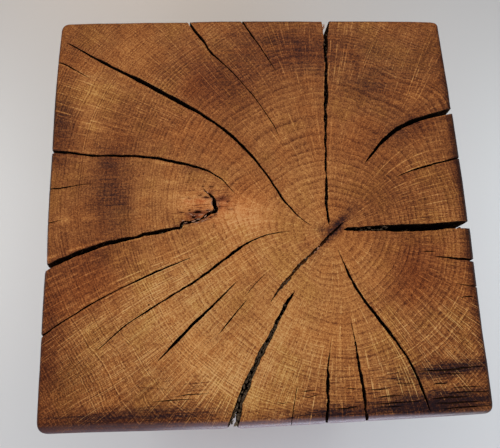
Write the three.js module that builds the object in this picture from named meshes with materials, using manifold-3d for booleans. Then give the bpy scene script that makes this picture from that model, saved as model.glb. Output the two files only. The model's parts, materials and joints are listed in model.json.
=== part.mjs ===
// A squared block of oak, cut from one trunk with the heart inside it, standing
// on one end. The other end is the sanded and oiled top, where the drying cracks
// run out from the pith like the spokes of a wheel.
//
// Millimetres, +Z up. The origin is the centre of the underside.

import * as THREE from 'three';
import * as BufferGeometryUtils from 'three/addons/utils/BufferGeometryUtils.js';
import Module from 'manifold-3d';

// ---- driving dimensions -------------------------------------------------

const HEIGHT = 450;          // length of the piece along the grain
const TOP_ROUND = 5;         // sanded round-over of the rim of the top face
const FOOT_ROUND = 3;        // the same at the underside
const ROUND_STEPS = 3;       // facets across a round-over
const PITH = [48.7, -21.3];  // centre of the growth rings
const TWIST = 0.1;           // spiral grain, radians from the top to the foot
const RUN_OUT = 10;          // how far a crack is cut past the face it opens on

// Plan of the block, anticlockwise from the left end of the back face. The
// faces bow out a little and step where a crack has let one side move.
const BACK = [
  [140.5, 148.2], [124.7, 149.0], [100.6, 149.4], [72.7, 149.6], [62.1, 149.8],
  [51.3, 149.6], [36.9, 150.0], [5.4, 150.2], [-29.0, 150.4], [-43.8, 150.1],
  [-54.5, 149.6], [-84.6, 149.8], [-103.0, 149.4], [-121.4, 149.4], [-141.1, 148.8],
];
const LEFT = [
  [-148.2, 140.5], [-149.2, 116.9], [-149.8, 92.7], [-150.0, 76.4], [-149.8, 45.4],
  [-149.7, 39.0], [-149.9, 14.5], [-149.6, -14.6], [-149.1, -28.7], [-148.6, -40.4],
  [-149.5, -45.8], [-149.6, -56.2], [-149.6, -69.4], [-149.4, -84.0], [-149.3, -91.8],
  [-149.1, -107.9], [-149.1, -120.2], [-148.8, -140.5],
];
const FRONT = [
  [-140.8, -148.6], [-114.2, -148.8], [-83.0, -149.4], [-51.5, -149.8], [-31.0, -150.2],
  [-18.3, -150.4], [12.3, -150.0], [44.6, -149.6], [61.6, -149.4], [83.9, -149.1],
  [117.1, -148.5], [140.6, -148.0],
];
const RIGHT = [
  [148.0, -140.4], [148.4, -116.3], [148.2, -95.4], [148.6, -73.7], [149.1, -51.4],
  [149.9, -28.4], [150.0, -23.2], [149.2, -16.6], [149.4, -10.5], [149.8, 13.7],
  [149.6, 38.9], [149.5, 67.4], [148.7, 73.3], [148.9, 87.5], [148.5, 105.5],
  [147.8, 143.0],
];
const CORNER_STEPS = 3;      // facets round each upright corner

// Each crack is [x, y, width] along its centre line on the end face where it
// starts. "open" says which end of the line runs out through a side face.
// "levels" are [z, width factor, from, to] as it dies away: from and to are
// fractions of the line that are still open at that height.
const TOP_CRACKS = {
  upper_left: {
    line: [[-144.2, 131.2, 0.5], [-138.3, 128.5, 1.0], [-126.1, 120.6, 1.7], [-112.4, 112.2, 2.5],
      [-98.6, 104.5, 2.9], [-84.9, 96.5, 3.5], [-71.2, 88.5, 3.7], [-59.3, 81.2, 3.5],
      [-40.9, 69.3, 2.9], [-26.5, 58.5, 2.6], [-16.3, 48.7, 2.5], [-1.8, 31.4, 1.7],
      [10.1, 12.5, 1.7], [16.5, 1.3, 1.5], [27.2, -11.5, 0.7], [35.7, -18.4, 0.2]],
    levels: [[380, 0.75, 0.03, 0.96], [250, 0.15, 0.16, 0.84]],
  },
  left_high: {
    line: [[-153.5, 43.0, 2.4], [-146.6, 42.2, 2.4], [-132.0, 40.4, 2.2], [-118.5, 38.5, 1.9],
      [-98.1, 37.9, 1.9], [-83.3, 36.8, 2.0], [-67.1, 33.9, 2.1], [-51.9, 29.9, 2.1],
      [-39.3, 25.7, 1.5], [-30.4, 20.6, 1.0], [-18.3, 7.3, 0.4]],
    open: 'start',
    levels: [[390, 0.75, 0, 0.92], [250, 0.2, 0, 0.5]],
  },
  left_knot: {
    line: [[-153.5, -44.2, 4.1], [-146.8, -41.6, 3.8], [-134.9, -36.3, 3.7], [-125.0, -32.1, 3.3],
      [-108.4, -26.8, 2.9], [-94.7, -23.9, 2.7], [-83.0, -21.6, 2.5], [-69.2, -18.7, 2.3],
      [-57.5, -17.0, 2.2], [-53.6, -12.9, 2.2], [-46.5, -12.2, 1.9], [-39.3, -8.4, 1.9],
      [-35.5, -6.1, 2.2], [-32.4, -2.7, 2.8], [-32.6, -0.4, 2.5], [-33.5, 2.7, 1.9],
      [-36.6, 7.3, 1.0], [-40.4, 11.0, 0.5]],
    open: 'start',
    levels: [[395, 0.8, 0, 0.88], [260, 0.5, 0, 0.66], [110, 0.15, 0, 0.4]],
  },
  left_low: {
    line: [[-153.5, -90.8, 1.6], [-145.3, -85.8, 1.2], [-133.5, -78.1, 1.0], [-117.3, -68.3, 1.0],
      [-100.8, -59.4, 0.9], [-80.7, -50.4, 1.4], [-65.3, -44.0, 1.3], [-49.4, -38.0, 0.4]],
    open: 'start',
    levels: [[415, 0.8, 0, 0.93], [350, 0.3, 0, 0.75]],
  },
  front_left_long: {
    line: [[-112.1, -98.6, 0.4], [-96.6, -85.2, 0.9], [-73.2, -69.9, 1.0], [-58.5, -61.1, 1.3],
      [-44.4, -52.6, 1.6], [-28.1, -41.1, 1.7], [-18.3, -34.0, 2.0], [-13.0, -30.4, 1.3],
      [-0.1, -24.5, 0.9], [11.4, -22.1, 0.7], [20.0, -21.5, 0.2]],
    levels: [[410, 0.8, 0.08, 0.93], [340, 0.25, 0.25, 0.8]],
  },
  front_left_short: {
    line: [[-72.6, -106.7, 0.4], [-66.3, -100.5, 1.4], [-59.9, -94.1, 2.2], [-49.6, -84.3, 2.1],
      [-39.8, -75.4, 1.9], [-30.0, -66.2, 1.4], [-17.7, -54.8, 0.3]],
    levels: [[400, 0.8, 0.05, 0.95], [320, 0.2, 0.2, 0.8]],
  },
  heart_shake: {
    line: [[58.9, -15.2, 0.8], [52.3, -20.8, 1.4], [44.4, -28.1, 1.7], [36.6, -35.5, 1.5],
      [29.7, -41.4, 1.4], [22.9, -47.5, 2.2], [15.5, -56.1, 2.3], [9.7, -62.4, 1.4],
      [3.3, -70.9, 0.3]],
    levels: [[400, 0.85, 0.02, 0.95], [300, 0.2, 0.15, 0.8]],
  },
  front_wide: {
    line: [[20.7, -63.4, 0.4], [12.7, -73.8, 2.4], [7.2, -84.4, 2.6], [1.7, -94.8, 2.5],
      [-2.7, -101.0, 3.3], [-7.7, -110.4, 3.2], [-13.0, -120.8, 4.2], [-18.1, -131.4, 4.4],
      [-21.4, -140.8, 5.1], [-23.4, -146.1, 5.5], [-26.3, -154.5, 7.3]],
    open: 'end',
    levels: [[400, 0.8, 0.04, 1], [230, 0.65, 0.1, 1], [-8, 0.5, 0.2, 1]],
  },
  front_mid: {
    line: [[43.0, -97.8, 0.3], [40.8, -107.5, 1.0], [39.7, -113.3, 1.5], [38.8, -124.2, 2.1],
      [37.8, -135.9, 2.5], [36.5, -146.7, 2.2], [35.6, -154.5, 1.6]],
    open: 'end',
    levels: [[400, 0.8, 0.1, 1], [340, 0.3, 0.4, 1]],
  },
  front_straight: {
    line: [[57.1, -84.7, 0.4], [58.6, -95.7, 1.2], [60.1, -108.5, 1.7], [61.1, -122.2, 2.1],
      [62.0, -135.9, 2.4], [62.4, -146.8, 1.9], [62.7, -154.5, 1.6]],
    open: 'end',
    levels: [[390, 0.8, 0.05, 1], [300, 0.3, 0.35, 1]],
  },
  front_right: {
    line: [[52.2, -34.6, 0.3], [55.8, -45.3, 0.9], [60.1, -56.5, 1.8], [64.8, -66.3, 2.1],
      [71.9, -77.3, 2.4], [81.2, -91.0, 2.3], [89.0, -103.0, 1.7], [94.0, -111.8, 1.4],
      [98.5, -122.7, 1.7], [101.5, -133.0, 1.9], [104.8, -145.1, 0.6]],
    levels: [[395, 0.8, 0.04, 0.97], [280, 0.2, 0.2, 0.85]],
  },
  right_wide: {
    line: [[57.6, -21.2, 2.4], [61.1, -20.9, 3.1], [69.9, -21.0, 3.4], [82.7, -20.8, 3.9],
      [95.4, -20.9, 4.5], [109.1, -21.1, 5.1], [121.9, -20.9, 5.1], [134.6, -20.4, 4.9],
      [146.4, -19.7, 4.9], [154.2, -19.1, 5.3]],
    open: 'end',
    levels: [[330, 0.9, 0.04, 1], [150, 0.75, 0.1, 1], [-8, 0.6, 0.2, 1]],
  },
  right_curved: {
    line: [[77.5, 28.5, 0.5], [84.1, 36.2, 1.5], [92.1, 45.0, 2.4], [98.0, 50.1, 2.7],
      [105.5, 55.7, 3.0], [113.3, 59.5, 3.4], [121.5, 62.6, 3.8], [130.7, 65.3, 4.0],
      [139.5, 67.3, 4.0], [147.3, 69.3, 4.1], [154.2, 71.0, 4.5]],
    open: 'end',
    levels: [[370, 0.8, 0.05, 1], [200, 0.5, 0.3, 1], [70, 0.15, 0.65, 1]],
  },
  right_thin: {
    line: [[99.6, 17.1, 0.4], [110.1, 21.5, 0.9], [122.9, 25.2, 1.3], [134.6, 28.1, 1.4],
      [147.6, 31.0, 1.4], [154.2, 32.2, 1.4]],
    open: 'end',
    levels: [[410, 0.7, 0.1, 1], [355, 0.3, 0.5, 1]],
  },
  back_straight: {
    line: [[47.5, -17.4, 0.8], [47.1, -9.6, 2.0], [47.1, -0.7, 2.1], [47.6, 9.3, 1.7],
      [48.6, 28.7, 1.6], [49.8, 49.4, 1.5], [51.5, 70.6, 2.2], [52.7, 81.6, 2.4],
      [54.5, 107.1, 2.5], [56.2, 133.6, 3.1], [56.9, 143.4, 4.5], [57.4, 154.2, 6.5]],
    open: 'end',
    levels: [[400, 0.8, 0.04, 1], [230, 0.6, 0.12, 1], [-8, 0.45, 0.25, 1]],
  },
  back_left: {
    line: [[-53.2, 154.2, 3.3], [-48.7, 145.5, 2.0], [-43.4, 137.5, 2.1], [-38.2, 130.0, 2.0],
      [-33.2, 121.1, 1.6], [-17.1, 104.0, 1.0], [-0.8, 81.8, 0.8], [10.7, 62.2, 0.7],
      [15.7, 50.0, 0.3]],
    open: 'start',
    levels: [[400, 0.75, 0, 0.8], [290, 0.25, 0, 0.35]],
  },
  back_left_thin: {
    line: [[-11.4, 153.7, 1.6], [-7.2, 146.1, 1.4], [-0.6, 134.6, 1.3], [5.9, 123.6, 1.0],
      [16.5, 103.2, 0.3]],
    open: 'start',
    levels: [[425, 0.7, 0, 0.8], [395, 0.3, 0, 0.45]],
  },
  right_low: {
    line: [[120.0, -42.3, 0.3], [129.7, -43.4, 1.2], [139.5, -44.7, 1.6], [147.6, -45.9, 2.0],
      [154.2, -46.7, 2.2]],
    open: 'end',
    levels: [[420, 0.7, 0.1, 1], [375, 0.3, 0.5, 1]],
  },
};

// Checks that start at the underside and die away upwards.
const FOOT_CRACKS = {
  foot_back_left: {
    line: [[22.0, 14.0, 0.4], [-6.0, 44.0, 1.4], [-40.0, 72.0, 2.2], [-76.0, 96.0, 2.4],
      [-108.0, 116.0, 1.6], [-130.0, 128.0, 0.4]],
    levels: [[60, 0.7, 0.06, 0.94], [150, 0.2, 0.25, 0.75]],
  },
  foot_left: {
    line: [[-2.0, -44.0, 0.4], [-40.0, -60.0, 1.4], [-80.0, -74.0, 2.0], [-118.0, -90.0, 2.6],
      [-153.5, -107.0, 3.2]],
    open: 'end',
    levels: [[70, 0.7, 0.1, 1], [170, 0.2, 0.5, 1]],
  },
  foot_front_right: {
    line: [[76.0, -62.0, 0.4], [92.0, -90.0, 1.6], [108.0, -118.0, 2.2], [122.0, -143.0, 2.6],
      [128.0, -154.5, 2.8]],
    open: 'end',
    levels: [[60, 0.7, 0.1, 1], [140, 0.25, 0.45, 1]],
  },
  foot_back_right: {
    line: [[70.0, 14.0, 0.4], [90.0, 46.0, 1.6], [108.0, 82.0, 2.0], [122.0, 112.0, 1.4],
      [130.0, 130.0, 0.4]],
    levels: [[50, 0.7, 0.08, 0.92], [120, 0.2, 0.25, 0.75]],
  },
};

// ---- the block itself ---------------------------------------------------

// One rounded corner between the end of one face and the start of the next.
function corner(a, b, towards) {
  const points = [];
  const curve = new THREE.QuadraticBezierCurve(
    new THREE.Vector2(...a), new THREE.Vector2(...towards), new THREE.Vector2(...b));
  for (let i = 1; i < CORNER_STEPS; i++) points.push(curve.getPoint(i / CORNER_STEPS).toArray());
  return points;
}

const last = (list) => list[list.length - 1];
const PLAN = [
  ...BACK, ...corner(last(BACK), LEFT[0], [-148.4, 148.7]),
  ...LEFT, ...corner(last(LEFT), FRONT[0], [-148.7, -148.5]),
  ...FRONT, ...corner(last(FRONT), RIGHT[0], [147.9, -148.0]),
  ...RIGHT, ...corner(last(RIGHT), BACK[0], [147.7, 148.0]),
];

// The plan moved inwards by a distance, each corner along its own normal.
function inset(plan, distance) {
  return plan.map(([x, y], i) => {
    const [x0, y0] = plan[(i + plan.length - 1) % plan.length];
    const [x1, y1] = plan[(i + 1) % plan.length];
    const length = Math.hypot(x1 - x0, y1 - y0);
    return [x - distance * (y1 - y0) / length, y + distance * (x1 - x0) / length];
  });
}

function blockGeometry() {
  const rings = [];
  for (let i = 0; i <= ROUND_STEPS; i++) {
    const a = (Math.PI / 2) * (i / ROUND_STEPS);
    rings.push([FOOT_ROUND * (1 - Math.sin(a)), FOOT_ROUND * (1 - Math.cos(a))]);
  }
  for (let i = 0; i <= ROUND_STEPS; i++) {
    const a = (Math.PI / 2) * (i / ROUND_STEPS);
    rings.push([TOP_ROUND * (1 - Math.cos(a)), HEIGHT - TOP_ROUND * (1 - Math.sin(a))]);
  }
  const n = PLAN.length;
  const position = [];
  for (const [distance, z] of rings) {
    for (const [x, y] of inset(PLAN, distance)) position.push(x, y, z);
  }
  const index = [];
  for (let r = 0; r + 1 < rings.length; r++) {
    for (let i = 0; i < n; i++) {
      const a = r * n + i, b = r * n + (i + 1) % n;
      index.push(a, b, b + n, a, b + n, a + n);
    }
  }
  const outline = (r) => inset(PLAN, rings[r][0]).map((p) => new THREE.Vector2(...p));
  for (const [a, b, c] of THREE.ShapeUtils.triangulateShape(outline(0), [])) index.push(a, c, b);
  const top = (rings.length - 1) * n;
  for (const [a, b, c] of THREE.ShapeUtils.triangulateShape(outline(rings.length - 1), [])) {
    index.push(top + a, top + b, top + c);
  }
  const geometry = new THREE.BufferGeometry();
  geometry.setAttribute('position', new THREE.Float32BufferAttribute(position, 3));
  geometry.setIndex(index);
  return geometry;
}

// ---- cracks -------------------------------------------------------------

function extend(line, open) {
  const grow = (near, far) => {
    const length = Math.hypot(far[0] - near[0], far[1] - near[1]);
    return [far[0] + RUN_OUT * (far[0] - near[0]) / length,
      far[1] + RUN_OUT * (far[1] - near[1]) / length, far[2]];
  };
  if (open === 'start') return [grow(line[1], line[0]), ...line];
  if (open === 'end') return [...line, grow(line[line.length - 2], last(line))];
  return line;
}

// Points of the line between two fractions of its length, with the same count
// as the line itself, so that rings at different heights can be joined.
function stretch(line, from, to) {
  const along = [0];
  for (let i = 1; i < line.length; i++) {
    along.push(along[i - 1] + Math.hypot(line[i][0] - line[i - 1][0], line[i][1] - line[i - 1][1]));
  }
  const total = last(along);
  return line.map((point, i) => {
    const s = (from + (to - from) * (along[i] / total)) * total;
    let k = 1;
    while (k < line.length - 1 && along[k] < s) k++;
    const t = (s - along[k - 1]) / (along[k] - along[k - 1]);
    const a = line[k - 1], b = line[k];
    return [a[0] + (b[0] - a[0]) * t, a[1] + (b[1] - a[1]) * t, point[2]];
  });
}

// The grain winds round the pith, so a crack leans as it goes down.
function wind([x, y], z) {
  const angle = TWIST * (HEIGHT - z) / HEIGHT;
  const dx = x - PITH[0], dy = y - PITH[1];
  return [PITH[0] + dx * Math.cos(angle) - dy * Math.sin(angle),
    PITH[1] + dx * Math.sin(angle) + dy * Math.cos(angle)];
}

function crackGeometry(crack, levels, twisted) {
  const line = extend(crack.line, crack.open);
  const n = line.length;
  const position = [];
  for (const [z, factor, from, to] of levels) {
    const points = stretch(line, from, to);
    const left = [], right = [];
    for (let i = 0; i < n; i++) {
      const a = points[Math.max(i - 1, 0)], b = points[Math.min(i + 1, n - 1)];
      const length = Math.hypot(b[0] - a[0], b[1] - a[1]);
      const half = Math.max(points[i][2] * factor, 0.08) / 2;
      const nx = -(b[1] - a[1]) / length, ny = (b[0] - a[0]) / length;
      left.push([points[i][0] + nx * half, points[i][1] + ny * half]);
      right.push([points[i][0] - nx * half, points[i][1] - ny * half]);
    }
    for (const p of [...right, ...left.reverse()]) {
      const [x, y] = twisted ? wind(p, z) : p;
      position.push(x, y, z);
    }
  }
  const m = 2 * n;
  const index = [];
  for (let r = 0; r + 1 < levels.length; r++) {
    for (let i = 0; i < m; i++) {
      const a = r * m + i, b = r * m + (i + 1) % m;
      index.push(a, b + m, b, a, a + m, b + m);
    }
  }
  const low = (levels.length - 1) * m;
  for (let i = 0; i + 1 < n; i++) {
    const j = m - 1 - i;
    index.push(i, i + 1, j - 1, i, j - 1, j);
    index.push(low + i, low + j - 1, low + i + 1, low + i, low + j, low + j - 1);
  }
  const geometry = new THREE.BufferGeometry();
  geometry.setAttribute('position', new THREE.Float32BufferAttribute(position, 3));
  geometry.setIndex(index);
  return geometry;
}

// ---- cutting ------------------------------------------------------------

const wasm = await Module();
wasm.setup();

function solid(geometry) {
  geometry.deleteAttribute('normal');
  geometry.deleteAttribute('uv');
  const merged = BufferGeometryUtils.mergeVertices(geometry, 1e-4);
  return new wasm.Manifold(new wasm.Mesh({
    numProp: 3,
    vertProperties: new Float32Array(merged.attributes.position.array),
    triVerts: new Uint32Array(merged.index.array),
  }));
}

let body = solid(blockGeometry());
for (const crack of Object.values(TOP_CRACKS)) {
  const levels = [[HEIGHT + 8, 1, 0, 1], [HEIGHT - 8, 1, 0, 1], ...crack.levels];
  body = body.subtract(solid(crackGeometry(crack, levels, true)));
}
for (const crack of Object.values(FOOT_CRACKS)) {
  const levels = [...crack.levels].reverse();
  levels.push([-8, 1, 0, 1]);
  body = body.subtract(solid(crackGeometry(crack, levels, false)));
}

const cut = body.getMesh();
const geometry = new THREE.BufferGeometry();
geometry.setAttribute('position', new THREE.BufferAttribute(new Float32Array(cut.vertProperties), 3));
geometry.setIndex(new THREE.BufferAttribute(new Uint32Array(cut.triVerts), 1));
geometry.computeVertexNormals();

const block = new THREE.Mesh(geometry, new THREE.MeshStandardMaterial({
  color: 0xa8703f, roughness: 0.45, metalness: 0,
}));
block.name = 'block';

const group = new THREE.Group();
group.add(block);

export default group;
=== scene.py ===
"""A squared block of oiled oak standing on end, looked at from above.

The block is one piece of wood. Its growth rings and rays follow a field worked out
from the lines of the drying cracks; the cracks, worn lips, knot, pits and loose
fibres are cut and modelled in the mesh, and the fine grain is in the material.
Lengths are in millimetres until the mesh is made, then metres.
"""
import json
import math

import bpy
import numpy as np
from mathutils import Matrix, Vector
from mathutils.geometry import delaunay_2d_cdt

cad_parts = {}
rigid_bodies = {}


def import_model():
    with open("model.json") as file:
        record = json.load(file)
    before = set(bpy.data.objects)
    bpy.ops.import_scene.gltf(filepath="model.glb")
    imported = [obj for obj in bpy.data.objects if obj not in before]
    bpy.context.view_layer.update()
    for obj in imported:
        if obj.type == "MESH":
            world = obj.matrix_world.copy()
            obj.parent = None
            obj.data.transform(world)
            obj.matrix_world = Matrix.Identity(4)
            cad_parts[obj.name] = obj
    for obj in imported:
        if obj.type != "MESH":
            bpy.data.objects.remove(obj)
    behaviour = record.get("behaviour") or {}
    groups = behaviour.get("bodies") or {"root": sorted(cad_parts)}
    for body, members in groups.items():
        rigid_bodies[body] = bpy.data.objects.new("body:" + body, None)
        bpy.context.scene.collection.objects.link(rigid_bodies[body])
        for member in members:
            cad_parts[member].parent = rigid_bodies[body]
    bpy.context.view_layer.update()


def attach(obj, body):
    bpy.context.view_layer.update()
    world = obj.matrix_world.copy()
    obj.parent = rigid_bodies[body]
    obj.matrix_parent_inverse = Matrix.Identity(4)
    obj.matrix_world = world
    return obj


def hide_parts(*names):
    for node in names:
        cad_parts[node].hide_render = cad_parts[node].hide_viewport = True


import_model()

# ---- camera ---------------------------------------------------------------

EYE = (-0.025845, -0.107773, 0.805164)
RIGHTWARDS = (0.99855, -0.03679, 0.03941)
UPWARDS = (0.02566, 0.96718, 0.25278)
BACKWARDS = (-0.04742, -0.25140, 0.96672)
LENS = 37.61                  # mm on a 36 mm wide frame

camera_data = bpy.data.cameras.new("camera")
camera_data.lens = LENS
camera_data.sensor_width = 36.0
camera_data.sensor_fit = "HORIZONTAL"
camera_data.clip_start = 0.01
camera = bpy.data.objects.new("camera", camera_data)
bpy.context.scene.collection.objects.link(camera)
camera.matrix_world = Matrix([
    [RIGHTWARDS[i], UPWARDS[i], BACKWARDS[i], EYE[i]] for i in range(3)] + [[0, 0, 0, 1]])
bpy.context.scene.camera = camera

# ---- the block's own sizes, as in its construction -------------------------

HEIGHT = 450.0
TOP_ROUND = 4.0
FOOT_ROUND = 3.0
PITH = np.array([48.7, -21.3])
TWIST = 0.1
RUN_OUT = 10.0

BACK = [
    [140.5, 148.2], [124.7, 149.0], [100.6, 149.4], [72.7, 149.6], [62.1, 149.8],
    [51.3, 149.6], [36.9, 150.0], [5.4, 150.2], [-29.0, 150.4], [-43.8, 150.1],
    [-54.5, 149.6], [-84.6, 149.8], [-103.0, 149.4], [-121.4, 149.4], [-141.1, 148.8],
]
LEFT = [
    [-148.2, 140.5], [-149.2, 116.9], [-149.8, 92.7], [-150.0, 76.4], [-149.8, 45.4],
    [-149.7, 39.0], [-149.9, 14.5], [-149.6, -14.6], [-149.1, -28.7], [-148.6, -40.4],
    [-149.5, -45.8], [-149.6, -56.2], [-149.6, -69.4], [-149.4, -84.0], [-149.3, -91.8],
    [-149.1, -107.9], [-149.1, -120.2], [-148.8, -140.5],
]
FRONT = [
    [-140.8, -148.6], [-114.2, -148.8], [-83.0, -149.4], [-51.5, -149.8], [-31.0, -150.2],
    [-18.3, -150.4], [12.3, -150.0], [44.6, -149.6], [61.6, -149.4], [83.9, -149.1],
    [117.1, -148.5], [140.6, -148.0],
]
RIGHT = [
    [148.0, -140.4], [148.4, -116.3], [148.2, -95.4], [148.6, -73.7], [149.1, -51.4],
    [149.9, -28.4], [150.0, -23.2], [149.2, -16.6], [149.4, -10.5], [149.8, 13.7],
    [149.6, 38.9], [149.5, 67.4], [148.7, 73.3], [148.9, 87.5], [148.5, 105.5],
    [147.8, 143.0],
]
CORNERS = [[-148.4, 148.7], [-148.7, -148.5], [147.9, -148.0], [147.7, 148.0]]

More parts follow.
